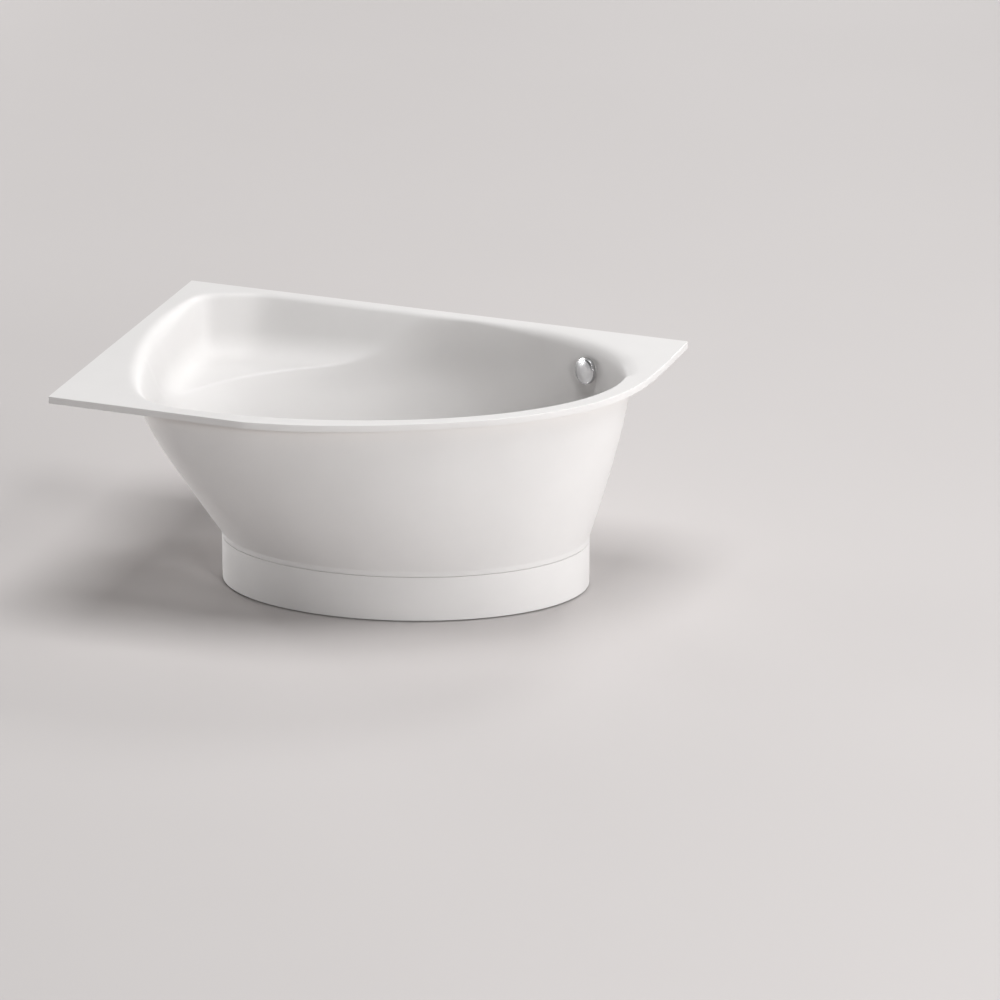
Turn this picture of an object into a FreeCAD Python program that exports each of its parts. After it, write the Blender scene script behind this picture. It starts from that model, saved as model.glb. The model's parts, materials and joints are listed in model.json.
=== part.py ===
import FreeCAD, Part
import Sketcher
import math
import os

# Corner bathtub with a lofted outer body on an oval plinth. Millimetres, +Z up.
# Origin: middle of the rim's rectangle, on the floor. The room corner is at -X, +Y,
# the back wall runs along +Y and the side wall along -X.

Vector = FreeCAD.Vector

SIZES = {
    # Rim
    "rim_length": 1500.0,
    "rim_width": 1000.0,
    "rim_height": 630.0,
    "rim_lip": 20.0,
    "sheet": 5.0,
    "fit_gap": 0.3,
    # Basin opening: a turned ellipse, cut off by the two wall sides
    "axis_turn": 15.54,
    "bowl_from_right": 845.0,
    "bowl_from_front": 506.0,
    "bowl_long": 797.5,
    "bowl_short": 433.0,
    "edge_roll": 8.0,
    "back_strip": 28.0,
    "side_strip": 58.0,
    "side_bow_radius": 1257.0,
    "side_bow_from_back": 270.0,
    "side_slope": 0.34,
    "back_slope": 0.06,
    "near_corner_blend": 80.0,
    "back_corner_blend": 10.0,
    # Basin at the depth of the armrest
    "mid_depth": 155.0,
    "mid_from_right": 744.0,
    "mid_from_front": 529.0,
    "mid_long": 648.0,
    "mid_short": 408.0,
    # Basin floor
    "floor_height": 180.0,
    "floor_from_right": 684.0,
    "floor_from_front": 534.0,
    "floor_long": 500.0,
    "floor_short": 285.0,
    "floor_round": 90.0,
    # Armrest pocket in the room corner
    "armrest_depth": 165.0,
    "armrest_from_side": 150.0,
    "armrest_rise": 0.04,
    "armrest_round": 35.0,
    "pocket_slope": 0.36,
    "pocket_corner_slope": 0.30,
    "pocket_corner_turn": 112.4,
    "pocket_corner_cut": 114.1,
    "pocket_end_turn": -51.74,
    "pocket_end_reach": 547.3,
    "pocket_side_lead": 1.0,
    "pocket_side_shift": 20.0,
    "pocket_side_drift": 0.16,
    "pocket_side_swing": 0.45,
    "pocket_side_margin": 3.0,
    "pocket_side_blend": 40.0,
    "pocket_back_blend": 20.0,
    "pocket_hub_from_side": 420.0,
    "pocket_hub_from_back": 300.0,
    # Plinth and outer body
    "plinth_from_right": 670.0,
    "plinth_from_front": 535.6,
    "plinth_long": 513.5,
    "plinth_short": 306.0,
    "plinth_top": 132.0,
    "plinth_wall": 8.0,
    "floor_gap": 4.0,
    "shadow_groove": 1.5,
    "collar_top": 148.0,
    "tongue_height": 14.0,
    "tongue_wall": 3.0,
    "belly_ends": 1.3,
    "belly_front": 2.0,
    "belly_front_angle": 300.0,
    "belly_front_spread": 78.0,
    "belly_back": 3.4,
    "shell_gap": 3.5,
    "stiffener_room": 2.0,
    "shell_blend": 8.0,
    "top_margin_front": 5.0,
    "top_margin_back": 13.0,
    "pipe_bulge": 36.0,
    "pipe_bulge_angle": 40.0,
    "pipe_bulge_spread": 34.0,
    # Base board, steel frame and levelling feet
    "board_thick": 18.0,
    "board_room": 2.0,
    "board_skin": 4.0,
    "rail_length": 620.0,
    "rail_spread": 150.0,
    "rail_leg": 35.0,
    "rail_drop": 30.0,
    "rail_sheet": 3.0,
    "foot_inset": 70.0,
    "foot_rod_radius": 6.0,
    "foot_rod_bottom": 8.0,
    "foot_rod_top": 168.0,
    "foot_pad_radius": 25.0,
    "foot_pad_height": 14.0,
    "foot_pad_edge": 4.0,
    "foot_pad_neck": 5.0,
    "rod_play": 1.0,
    "nut_across": 19.0,
    "lock_nut_height": 7.0,
    "weld_nut_height": 12.0,
    "run_gap": 0.05,
    "screw_radius": 2.4,
    "screw_head_radius": 5.0,
    "screw_head_height": 3.0,
    "screw_length": 14.0,
    "screw_inset": 25.0,
    # Waste set in the basin floor
    "waste_reach": 260.0,
    "waste_hole": 26.0,
    "waste_tube": 24.5,
    "waste_bore": 21.0,
    "waste_flange_radius": 35.0,
    "waste_flange_height": 3.5,
    "flange_edge": 1.5,
    "flange_slope": 3.0,
    "flange_dish": 5.0,
    "flange_dip": 1.0,
    "gasket_inset": 1.0,
    "waste_tube_length": 52.0,
    "gasket": 1.0,
    "lower_gasket": 3.0,
    "waste_nut_radius": 38.0,
    "waste_nut_height": 7.0,
    "waste_body_wall": 4.0,
    "plug_radius": 31.0,
    "plug_edge": 4.0,
    "plug_crown": 5.0,
    "stem_radius": 4.0,
    "guide_hub": 8.0,
    "guide_height": 5.0,
    "guide_drop": 16.0,
    "guide_wall": 2.0,
    "spoke": 3.0,
    "seal_radius": 24.0,
    "seal_height": 3.0,
    "seal_lip": 1.2,
    "lever_thick": 4.0,
    "lever_width": 7.0,
    "lever_pin_radius": 2.0,
    "lever_reach": 33.0,
    "lever_eye": 3.6,
    "lever_drop": 8.0,
    "lever_tail": 4.0,
    "house_length": 18.0,
    "house_width": 16.0,
    "house_height": 14.0,
    "house_side": 3.0,
    "house_lid": 1.5,
    "trap_radius": 42.0,
    "trap_wall": 3.0,
    "trap_bottom": 24.0,
    "trap_top": 104.0,
    "trap_lid": 4.0,
    "trap_stub": 30.0,
    "dip_bottom": 50.0,
    "dip_wall": 3.0,
    "outlet_radius": 25.0,
    "outlet_wall": 3.0,
    "outlet_height": 74.0,
    "outlet_past_plinth": 50.0,
    "outlet_spigot": 45.0,
    "outlet_step": 0.5,
    "outlet_clearance": 6.0,
    "outlet_nut_radius": 31.0,
    "outlet_nut_length": 24.0,
    # Overflow set in the basin wall
    "overflow_depth": 80.0,
    "overflow_angle": 60.4,
    "overflow_hole": 24.0,
    "knob_radius": 37.5,
    "knob_thick": 15.0,
    "knob_wall": 3.0,
    "knob_gap": 7.5,
    "spindle_radius": 5.0,
    "spindle_tail": 37.0,
    "ring_radius": 32.0,
    "ring_height": 3.0,
    "ring_seat": 2.0,
    "sleeve_radius": 23.0,
    "sleeve_wall": 3.0,
    "sleeve_length": 20.0,
    "hub_radius": 9.0,
    "hub_length": 16.0,
    "arm_height": 8.0,
    "cup_seal": 3.0,
    "cup_radius": 31.0,
    "cup_wall": 3.0,
    "cup_depth": 34.0,
    "cup_neck": 12.0,
    "spout_drop": 6.0,
    "drum_radius": 14.0,
    "drum_height": 5.0,
    "hose_radius": 12.0,
    "hose_wall": 2.0,
    "hose_clearance": 8.0,
    "slot_past": 20.0,
    "hose_inset": 26.0,
    "hose_high": 340.0,
    "hose_mid": 240.0,
    "hose_low": 160.0,
    "hose_bend": 34.0,
    "nozzle_length": 24.0,
    "nozzle_grip": 14.0,
    "nozzle_wall": 2.0,
    "tee_past_nut": 22.0,
    "cable_radius": 3.0,
    "cable_gap": 3.0,
    "cable_past": 5.5,
    # Clips that hold the plinth to the board
    "clip_width": 26.0,
    "clip_drop": 40.0,
    "clip_foot": 28.0,
    "clip_sheet": 2.5,
    "clip_gap": 1.8,
}

doc = FreeCAD.newDocument("corner_bathtub")
sheet = doc.addObject("Spreadsheet::Sheet", "sizes")
for row, (alias, value) in enumerate(SIZES.items(), start=1):
    sheet.set(f"A{row}", alias)
    sheet.set(f"B{row}", str(value))
    sheet.setAlias(f"B{row}", alias)
doc.recompute()

parts = {}


def amount(text):
    """Value of a sum of sizes and numbers, such as 'trap_radius - trap_wall'."""
    total = 0.0
    sign = 1.0
    for word in str(text).split():
        if word == "+":
            sign = 1.0
        elif word == "-":
            sign = -1.0
        else:
            total += sign * (float(getattr(sheet, word)) if word in SIZES else float(word))
    return total


def formula(text):
    """The same sum written for an expression that reads the sheet."""
    return " ".join("sizes." + word if word in SIZES else word for word in str(text).split())


def bind(item, prop, text):
    item.setExpression(prop, formula(text))


def keep(node, item):
    item.Label = node
    parts[node] = item
    return item


# ---------------------------------------------------------------- solids from the sheet

def cylinder(radius, height, at=(0.0, 0.0), z="0", placement=None):
    """Upright cylinder whose radius, height and base height follow the sheet."""
    item = doc.addObject("Part::Cylinder", "cylinder")
    bind(item, "Radius", radius)
    bind(item, "Height", height)
    if placement is None:
        item.Placement = FreeCAD.Placement(Vector(at[0], at[1], 0), FreeCAD.Rotation())
        bind(item, "Placement.Base.z", z)
    else:
        item.Placement = placement.multiply(
            FreeCAD.Placement(Vector(at[0], at[1], amount(z)), FreeCAD.Rotation()))
    return item


def box(length, width, height, placement):
    """Box that starts at its placement and runs along its own +X, +Y and +Z."""
    item = doc.addObject("Part::Box", "box")
    bind(item, "Length", length)
    bind(item, "Width", width)
    bind(item, "Height", height)
    item.Placement = placement
    return item


def hexagon(across, height, at, z):
    """Hexagon nut blank, with its base height in the sheet."""
    item = doc.addObject("Part::Prism", "hexagon")
    item.Polygon = 6
    item.setExpression("Circumradius", f"({formula(across)}) / sqrt(3)")
    bind(item, "Height", height)
    item.Placement = FreeCAD.Placement(Vector(at[0], at[1], 0), FreeCAD.Rotation())
    bind(item, "Placement.Base.z", z)
    return item


def fuse(items):
    item = doc.addObject("Part::MultiFuse", "fuse")
    item.Shapes = items
    return item


def cut(base, tool):
    item = doc.addObject("Part::Cut", "cut")
    item.Base = base
    item.Tool = tool
    return item


def turned(node, profile, placement):
    """Body turned about its own Z from a closed profile of (radius, height) sums."""
    body = doc.addObject("PartDesign::Body", node + "_body")
    plane = [f for f in body.Origin.OriginFeatures if f.Role == "XZ_Plane"][0]
    sketch = body.newObject("Sketcher::SketchObject", node + "_profile")
    sketch.AttachmentSupport = [(plane, "")]
    sketch.MapMode = "FlatFace"
    points = [Vector(amount(r), amount(z), 0) for r, z in profile]
    count = len(points)
    for i in range(count):
        sketch.addGeometry(Part.LineSegment(points[i], points[(i + 1) % count]), False)
    for i in range(count):
        sketch.addConstraint(Sketcher.Constraint("Coincident", i, 2, (i + 1) % count, 1))
    for i, pair in enumerate(profile):
        for kind, axis, text in (("DistanceX", -2, pair[0]), ("DistanceY", -1, pair[1])):
            reach = amount(text)
            if reach == 0.0:
                sketch.addConstraint(Sketcher.Constraint("PointOnObject", i, 1, axis))
            else:
                k = sketch.addConstraint(Sketcher.Constraint(kind, -1, 1, i, 1, reach))
                sketch.setExpression(f"Constraints[{k}]", formula(text))
    turn = body.newObject("PartDesign::Revolution", node + "_turn")
    turn.Profile = sketch
    turn.ReferenceAxis = (sketch, ["V_Axis"])
    turn.Angle = 360.0
    body.Tip = turn
    body.Placement = placement
    return keep(node, body)


def free_form(node, shape):
    item = doc.addObject("Part::Feature", node)
    item.Shape = shape
    return keep(node, item)


def upright(x, y, z):
    return FreeCAD.Placement(Vector(x, y, z), FreeCAD.Rotation())


# ---------------------------------------------------------------- frame and directions

half_length = amount("rim_length") / 2
half_width = amount("rim_width") / 2
rim_top = amount("rim_height")
rim_under = amount("rim_height - rim_lip")
turn = math.radians(amount("axis_turn"))
along = Vector(math.cos(turn), math.sin(turn), 0)
across = Vector(-math.sin(turn), math.cos(turn), 0)
floor_top = amount("floor_height")
basin_depth = rim_top - floor_top
board_top = amount("floor_height - sheet")
board_under = board_top - amount("board_thick")


def from_rim(from_right, from_front):
    """Point in plan, measured from the rim's right side and front side."""
    return Vector(half_length - from_right, from_front - half_width, 0)


plinth_centre = from_rim(amount("plinth_from_right"), amount("plinth_from_front"))
waste_spot = plinth_centre + along * amount("waste_reach")


def on_axis(far, aside):
    """Point in plan, along and across the tub's long axis from the plinth's middle."""
    return plinth_centre + along * far + across * aside


# ---------------------------------------------------------------- curves in plan, by rays

def smooth_min(one, two, blend):
    reach = max(blend - abs(one - two), 0.0) / blend
    return min(one, two) - reach * reach * blend / 4


def to_ellipse(hub, phi, centre, long_half, short_half):
    """Distance from hub, in direction phi, to an ellipse turned with the tub's axis."""
    start = hub - centre
    step = Vector(math.cos(phi), math.sin(phi), 0)
    sx, sy = start.dot(along) / long_half, start.dot(across) / short_half
    dx, dy = step.dot(along) / long_half, step.dot(across) / short_half
    a, b, c = dx * dx + dy * dy, sx * dx + sy * dy, sx * sx + sy * sy - 1
    return (-b + math.sqrt(b * b - a * c)) / a


def to_circle(hub, phi, centre, radius):
    start = hub - centre
    b = start.x * math.cos(phi) + start.y * math.sin(phi)
    return -b + math.sqrt(b * b - start.dot(start) + radius * radius)


def to_line(hub, phi, normal, reach):
    """Distance from hub to the line whose points p have p.normal = reach; far if it turns away."""
    rate = math.cos(phi) * normal.x + math.sin(phi) * normal.y
    if rate < 0.02:
        return 1.0e5
    return (reach - hub.dot(normal)) / rate


def closed_curve(points):
    curve = Part.BSplineCurve()
    curve.interpolate(Points=points, PeriodicFlag=True)
    return Part.Wire([curve.toShape()])


RAYS = 120
# How far a cut runs past the face that it opens.
PAST = 1.0


def ring(hub, radius_at, height_at):
    """Closed curve round hub: radius_at(phi) in plan and height_at(x, y) above the floor."""
    points = []
    for i in range(RAYS):
        phi = 2 * math.pi * i / RAYS
        reach = radius_at(phi)
        x = hub.x + reach * math.cos(phi)
        y = hub.y + reach * math.sin(phi)
        points.append(Vector(x, y, height_at(x, y)))
    return closed_curve(points)


def loft(rings):
    return Part.makeLoft(rings, True, False)


# ---------------------------------------------------------------- basin surfaces

room_corner = Vector(-half_length, half_width, 0)
bowl_levels = [
    (0.0, from_rim(amount("bowl_from_right"), amount("bowl_from_front")),
     amount("bowl_long - edge_roll"), amount("bowl_short - edge_roll")),
    (amount("mid_depth"), from_rim(amount("mid_from_right"), amount("mid_from_front")),
     amount("mid_long"), amount("mid_short")),
    (basin_depth, from_rim(amount("floor_from_right"), amount("floor_from_front")),
     amount("floor_long"), amount("floor_short")),
]
side_centre = Vector(
    amount("side_strip") + amount("side_bow_radius") - half_length,
    half_width - amount("side_bow_from_back"), 0)
back_line = half_width - amount("back_strip")
to_back = Vector(0, 1, 0)


def heading(degrees):
    return Vector(math.cos(math.radians(degrees)), math.sin(math.radians(degrees)), 0)


def through_levels(depth, values):
    """Parabola through the values at the deck, the armrest and the floor."""
    (d0, d1, d2) = (level[0] for level in bowl_levels)
    slope = (values[1] - values[0]) * (1 / (d1 - d0))
    next_slope = (values[2] - values[1]) * (1 / (d2 - d1))
    bend = (next_slope - slope) * (1 / (d2 - d0))
    return values[0] + slope * (depth - d0) + bend * ((depth - d0) * (depth - d1))


def bowl_ellipse(depth):
    centre = through_levels(depth, [level[1] for level in bowl_levels])
    long_half = through_levels(depth, [level[2] for level in bowl_levels])
    short_half = through_levels(depth, [level[3] for level in bowl_levels])
    return centre, long_half, short_half


def bowl_edge(phi, depth, grow):
    """Ray from the plinth's middle to the bowl's drawn wall, grown outwards by grow."""
    centre, long_half, short_half = bowl_ellipse(depth)
    inset = amount("edge_roll") - grow
    below = max(depth, 0.0)
    oval_reach = to_ellipse(plinth_centre, phi, centre, long_half + grow, short_half + grow)
    side = to_circle(plinth_centre, phi, side_centre,
                     amount("side_bow_radius") - inset - amount("side_slope") * below)
    back = to_line(plinth_centre, phi, to_back,
                   back_line - inset - amount("back_slope") * below)
    reach = smooth_min(oval_reach, side, amount("near_corner_blend"))
    return smooth_min(reach, back, amount("back_corner_blend"))


def armrest_depth(x):
    """Depth of the armrest below the deck: it rises gently away from the room corner."""
    start = amount("armrest_from_side") - half_length
    return amount("armrest_depth") - amount("armrest_rise") * (x - start)


pocket_hub = room_corner + Vector(
    amount("pocket_hub_from_side"), -amount("pocket_hub_from_back"), 0)


def pocket_radius(phi, depth, grow):
    """Ray from the pocket's hub to its wall: side bow, room corner, back and inner end."""
    centre = side_centre + Vector(
        amount("pocket_side_lead") + amount("pocket_side_drift") * depth,
        amount("pocket_side_shift") + amount("pocket_side_swing") * depth, 0)
    inset = amount("edge_roll") - grow
    side = to_circle(pocket_hub, phi, centre,
                     amount("side_bow_radius") + amount("pocket_side_margin") - inset)
    back = to_line(pocket_hub, phi, to_back,
                   back_line - inset - amount("pocket_slope") * depth)
    corner_normal = heading(amount("pocket_corner_turn"))
    corner = to_line(pocket_hub, phi, corner_normal,
                     room_corner.dot(corner_normal) - amount("pocket_corner_cut")
                     - inset - amount("pocket_corner_slope") * depth)
    end_normal = heading(amount("pocket_end_turn"))
    end = to_line(pocket_hub, phi, end_normal,
                  room_corner.dot(end_normal) + amount("pocket_end_reach"))
    reach = smooth_min(side, corner, amount("pocket_side_blend"))
    reach = smooth_min(reach, back, amount("pocket_back_blend"))
    return smooth_min(reach, end, amount("pocket_side_blend"))


def opening_radius(phi, depth, grow):
    """Ray from the plinth's middle to the outermost of bowl and pocket."""
    reach = bowl_edge(phi, depth, grow)
    aim = Vector(math.cos(phi), math.sin(phi), 0)
    for i in range(2 * RAYS):
        beam = math.pi * i / RAYS
        length = pocket_radius(beam, depth, grow)
        point = pocket_hub + Vector(math.cos(beam), math.sin(beam), 0) * length - plinth_centre
        if point.dot(aim) > point.Length * math.cos(math.pi / RAYS):
            reach = max(reach, point.Length)
    return reach


# ---------------------------------------------------------------- outer body surface

def ramp(value, low, high):
    share = min(max((value - low) / (high - low), 0.0), 1.0)
    return share * share * (3 - 2 * share)


def backness(degrees):
    """0 on the sides that show, 1 along the two wall sides."""
    return ramp(degrees, 22.0, 62.0) * (1 - ramp(degrees, 150.0, 190.0))


def bump(degrees, middle, spread):
    """1 at the middle direction, falling to 0 at the spread on both sides."""
    off = abs((degrees - middle + 180.0) % 360.0 - 180.0)
    return 1 - ramp(off / spread, 0.0, 1.0)


def plinth_radius(phi, grow):
    return to_ellipse(plinth_centre, phi, plinth_centre,
                      amount("plinth_long") + grow, amount("plinth_short") + grow)


tops = {}


def body_top(phi):
    """Ray to the outer body's upper edge, which follows the opening under the deck."""
    key = round(phi, 6)
    if key not in tops:
        degrees = math.degrees(phi) % 360.0
        back = backness(degrees)
        margin = amount("top_margin_front") * (1 - back) + amount("top_margin_back") * back
        room = bump(degrees, amount("pipe_bulge_angle"), amount("pipe_bulge_spread"))
        room *= ramp(degrees, 20.0, 40.0)
        tops[key] = (opening_radius(phi, 0.0, amount("edge_roll"))
                     + margin + amount("pipe_bulge") * room)
    return tops[key]


def body_radius(phi, height, grow):
    """Ray to the outer body: upright at the collar, then flaring out like an egg."""
    degrees = math.degrees(phi) % 360.0
    share = (height - amount("collar_top")) / (rim_under - amount("collar_top"))
    share = min(max(share, 0.0), 1.0)
    back = backness(degrees)
    near = bump(degrees, amount("belly_front_angle"), amount("belly_front_spread"))
    belly = amount("belly_ends") * (1 - near) + amount("belly_front") * near
    belly = belly * (1 - back) + amount("belly_back") * back
    low = plinth_radius(phi, 0.0)
    return low + (1 - (1 - share) ** belly) * (body_top(phi) - low) + grow


def bowl_radius(phi, depth, grow):
    """The bowl's wall, held clear of the outer body that surrounds it."""
    room = 2 * amount("sheet") + amount("shell_gap")
    limit = body_radius(phi, rim_top - depth, grow - room)
    return smooth_min(bowl_edge(phi, depth, grow), limit, amount("shell_blend"))


# ---------------------------------------------------------------- basin

def bowl_solid(grow, top):
    """The bowl's space, or its outer form when it is grown by the sheet."""
    rings = []
    floor_depth = basin_depth + grow
    round_radius = amount("floor_round")
    wall_end = floor_depth - round_radius
    for share in (0.0, 0.11, 0.25, 0.43, 0.62, 0.82, 1.0):
        depth = top + (wall_end - top) * share
        rings.append(ring(plinth_centre, lambda phi: bowl_radius(phi, depth, grow),
                          lambda x, y: rim_top - depth))
    for degrees in (25.0, 45.0, 65.0, 80.0, 90.0):
        lean = math.radians(degrees)
        depth = wall_end + round_radius * math.sin(lean)
        inset = round_radius * (1 - math.cos(lean))
        rings.append(ring(plinth_centre, lambda phi: bowl_radius(phi, depth, grow) - inset,
                          lambda x, y: rim_top - depth))
    return loft(rings)


def pocket_solid(grow, top):
    """The armrest pocket's space; its floor is a gently tilted plane."""
    rings = []
    full = amount("armrest_depth")
    edge = amount("armrest_round")
    steps = [(top / full, 0.0), (0.3, 0.0), (0.6, 0.0), (1 - edge / full, 0.0)]
    for degrees in (35.0, 65.0, 90.0):
        lean = math.radians(degrees)
        steps.append((1 - edge / full * (1 - math.sin(lean)), edge * (1 - math.cos(lean))))
    for share, inset in steps:
        rings.append(ring(pocket_hub, lambda phi: pocket_radius(phi, share * full, grow) - inset,
                          lambda x, y: rim_top - share * (armrest_depth(x) + grow)))
    return loft(rings)


# The rim's front edge: a straight run, then one long bow to the right-hand tip.
# Each point is its distance from the right side and from the front side.
RIM_BOW = (
    (930.0, 0.0), (785.0, 29.0), (656.0, 71.0), (531.0, 122.0), (410.0, 184.0), (291.0, 255.0),
    (179.0, 350.0), (115.0, 421.0), (76.0, 478.0), (50.0, 533.0), (27.0, 600.0), (11.0, 690.0),
    (3.5, 814.0),
)
BOW_STEPS = 36


def rim_outline(inset):
    """Closed outline of the rim, moved inwards by inset."""
    drawn = [from_rim(*point) for point in RIM_BOW] + [Vector(half_length, half_width, 0)]
    bow = Part.BSplineCurve()
    bow.interpolate(Points=drawn, InitialTangent=Vector(1, 0, 0),
                    FinalTangent=Vector(0.02, 1, 0))
    points = []
    for i in range(BOW_STEPS + 1):
        at = bow.FirstParameter + (bow.LastParameter - bow.FirstParameter) * i / BOW_STEPS
        slope = bow.tangent(at)[0]
        points.append(bow.value(at) + Vector(-slope.y, slope.x, 0) * inset)
    points[0].y = inset - half_width
    back = half_width - inset
    last = points[-1] + (points[-1] - points[-2]) * (
        (back - points[-1].y) / (points[-1].y - points[-2].y))
    points[-1] = last
    edge = Part.BSplineCurve()
    edge.interpolate(Points=points)
    corner = Vector(inset - half_length, back, 0)
    near = Vector(inset - half_length, inset - half_width, 0)
    return Part.Wire([
        Part.LineSegment(corner, near).toShape(),
        Part.LineSegment(near, points[0]).toShape(),
        edge.toShape(),
        Part.LineSegment(last, corner).toShape(),
    ])


def slab(outline, low, high):
    face = Part.Face(outline)
    face.translate(Vector(0, 0, low))
    return face.extrude(Vector(0, 0, high - low))


sheet_wall = amount("sheet")
deck = slab(rim_outline(0.0), rim_under, rim_top).cut(
    slab(rim_outline(sheet_wall), rim_under - PAST, rim_top - sheet_wall))
bowl_space = bowl_solid(0.0, -15.0)
pocket_space = pocket_solid(0.0, -15.0)
bowl_skin = bowl_solid(sheet_wall, 2.0)
pocket_skin = pocket_solid(sheet_wall, 2.0)
basin = deck.fuse([bowl_skin, pocket_skin]).cut([bowl_space, pocket_space])

# ---------------------------------------------------------------- overflow station

spot_depth = amount("overflow_depth")
spot_normal = heading(amount("overflow_angle"))


def wall_support(depth):
    """Point of the bowl's wall that faces the overflow's direction, and its reach."""
    centre, long_half, short_half = bowl_ellipse(depth)
    far, aside = spot_normal.dot(along), spot_normal.dot(across)
    reach = math.hypot(long_half * far, short_half * aside)
    offset = along * (long_half ** 2 * far / reach) + across * (short_half ** 2 * aside / reach)
    return centre + offset, centre.dot(spot_normal) + reach


spot = wall_support(spot_depth)[0]
wall_lean = math.atan2(wall_support(spot_depth - 20)[1] - wall_support(spot_depth + 20)[1], 40.0)
inward = spot_normal * (-math.cos(wall_lean)) + Vector(0, 0, math.sin(wall_lean))
level_way = Vector(0, 0, 1).cross(inward)
overflow_frame = FreeCAD.Placement(
    Vector(spot.x, spot.y, rim_top - spot_depth),
    FreeCAD.Rotation(level_way, inward.cross(level_way), inward, "ZXY"))


def on_overflow(height):
    """Placement on the overflow's axis: height is measured into the basin from its wall."""
    return overflow_frame.multiply(upright(0, 0, height))


wall_hole = Part.makeCylinder(amount("overflow_hole"), 80.0)
wall_hole.Placement = on_overflow(-40.0)
floor_hole = Part.makeCylinder(amount("waste_hole"), 60.0)
floor_hole.Placement = upright(waste_spot.x, waste_spot.y, board_top - 20.0)
free_form("basin_shell", basin.cut([wall_hole, floor_hole]))

# ---------------------------------------------------------------- rim stiffener

stiffener_room = sheet_wall + 2 * amount("fit_gap") + amount("stiffener_room")
stiffener_hole = loft([
    ring(plinth_centre, lambda phi: opening_radius(phi, 0.0, stiffener_room),
         lambda x, y: level)
    for level in (rim_under - 5.0, rim_top + 5.0)])
stiffener = slab(rim_outline(sheet_wall + amount("fit_gap")), rim_under, rim_top - sheet_wall)
free_form("rim_stiffener", stiffener.cut(stiffener_hole))

# ---------------------------------------------------------------- outer body


def body_solid(grow):
    """Flaring body from the collar's top to the deck's underside."""
    collar_top = amount("collar_top")
    span = rim_under - collar_top
    rings = []
    for share in (0.0, 0.05, 0.12, 0.22, 0.35, 0.5, 0.65, 0.8, 0.92, 1.0):
        level = collar_top + span * share
        rings.append(ring(plinth_centre, lambda phi: body_radius(phi, level, grow),
                          lambda x, y: level))
    return loft(rings)


def collar_solid(grow, low, high):
    """Upright collar with the body's own section at its foot."""
    return loft([ring(plinth_centre, lambda phi: body_radius(phi, collar_high, grow),
                      lambda x, y: level) for level in (low, high)])


collar_low = amount("plinth_top + shadow_groove")
collar_high = amount("collar_top")
body_wall = body_solid(0.0).cut(body_solid(-sheet_wall))
collar_wall = collar_solid(0.0, collar_low, collar_high).cut(
    collar_solid(-sheet_wall, collar_low - PAST, collar_high + PAST))
free_form("outer_skirt", body_wall.fuse(collar_wall))

# ---------------------------------------------------------------- plinth

axis_angle = FreeCAD.Rotation(Vector(0, 0, 1), amount("axis_turn"))


def oval(grow, low, high):
    """Upright elliptic solid round the plinth's middle."""
    ellipse = Part.Ellipse(Vector(), amount("plinth_long") + grow, amount("plinth_short") + grow)
    face = Part.Face(Part.Wire([ellipse.toShape()]))
    face.Placement = FreeCAD.Placement(plinth_centre + Vector(0, 0, low), axis_angle)
    return face.extrude(Vector(0, 0, high - low))


floor_gap = amount("floor_gap")
plinth_top = amount("plinth_top")
tongue_top = plinth_top + amount("tongue_height")
tongue_out = -(sheet_wall + amount("fit_gap"))
plinth = oval(0.0, floor_gap, plinth_top).cut(
    oval(-amount("plinth_wall"), floor_gap - PAST, plinth_top + PAST))
tongue = oval(tongue_out, plinth_top - 2.0, tongue_top).cut(
    oval(tongue_out - amount("tongue_wall"), plinth_top - 3.0, tongue_top + PAST))
tongue_root = oval(-1.0, plinth_top - 6.0, plinth_top - 2.0).cut(
    oval(tongue_out - amount("tongue_wall"), plinth_top - 7.0, plinth_top))
outlet_room = amount("outlet_radius + outlet_clearance")
notch = Part.makeBox(2 * outlet_room, 400.0, amount("outlet_height") + outlet_room)
notch.Placement = upright(waste_spot.x - outlet_room, plinth_centre.y, floor_gap - PAST)
free_form("plinth_ring", plinth.fuse([tongue_root, tongue]).cut(notch))

# ---------------------------------------------------------------- base board

board = oval(-(sheet_wall + 1.0), board_under, board_top)
waste_clear = Part.makeCylinder(amount("waste_nut_radius + board_room"), 60.0)
waste_clear.Placement = upright(waste_spot.x, waste_spot.y, board_under - 10.0)
foot_far = amount("rail_length") / 2 - amount("foot_inset")
foot_spots = [on_axis(foot_far * far, amount("rail_spread") * aside)
              for far, aside in ((-1, -1), (1, -1), (1, 1), (-1, 1), (0, 0))]
screw_far = amount("rail_length") / 2 - amount("screw_inset")
screw_spots = [on_axis(screw_far * far, (amount("rail_spread") + amount("rail_leg") / 2 - 8) * aside)
               for aside in (-1, 1) for far in (-1, -0.4, 0.4, 1)]
pilots = []
for point in screw_spots:
    pilot = Part.makeCylinder(amount("screw_radius + run_gap"), amount("screw_length") + PAST)
    pilot.Placement = upright(point.x, point.y, board_under - PAST)
    pilots.append(pilot)
rod_pockets = []
for point in foot_spots:
    pocket = Part.makeCylinder(amount("foot_rod_radius + board_room"), amount("board_thick - board_skin"))
    pocket.Placement = upright(point.x, point.y, board_under - PAST)
    rod_pockets.append(pocket)

# ---------------------------------------------------------------- hose and cable routes

cup_back = -(amount("sheet + cup_seal + cup_depth"))
cup_middle = overflow_frame.multVec(
    Vector(0, 0, cup_back + amount("cup_depth") / 2 - amount("spout_drop")))
hose_aim = Vector(cup_middle.x, cup_middle.y, 0) - plinth_centre
hose_phi = math.atan2(hose_aim.y, hose_aim.x)
hose_out = hose_aim.normalize()
hose_side = Vector(hose_out.y, -hose_out.x, 0)
lever_z = amount("floor_height + gasket - waste_tube_length - lever_drop")


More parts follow.
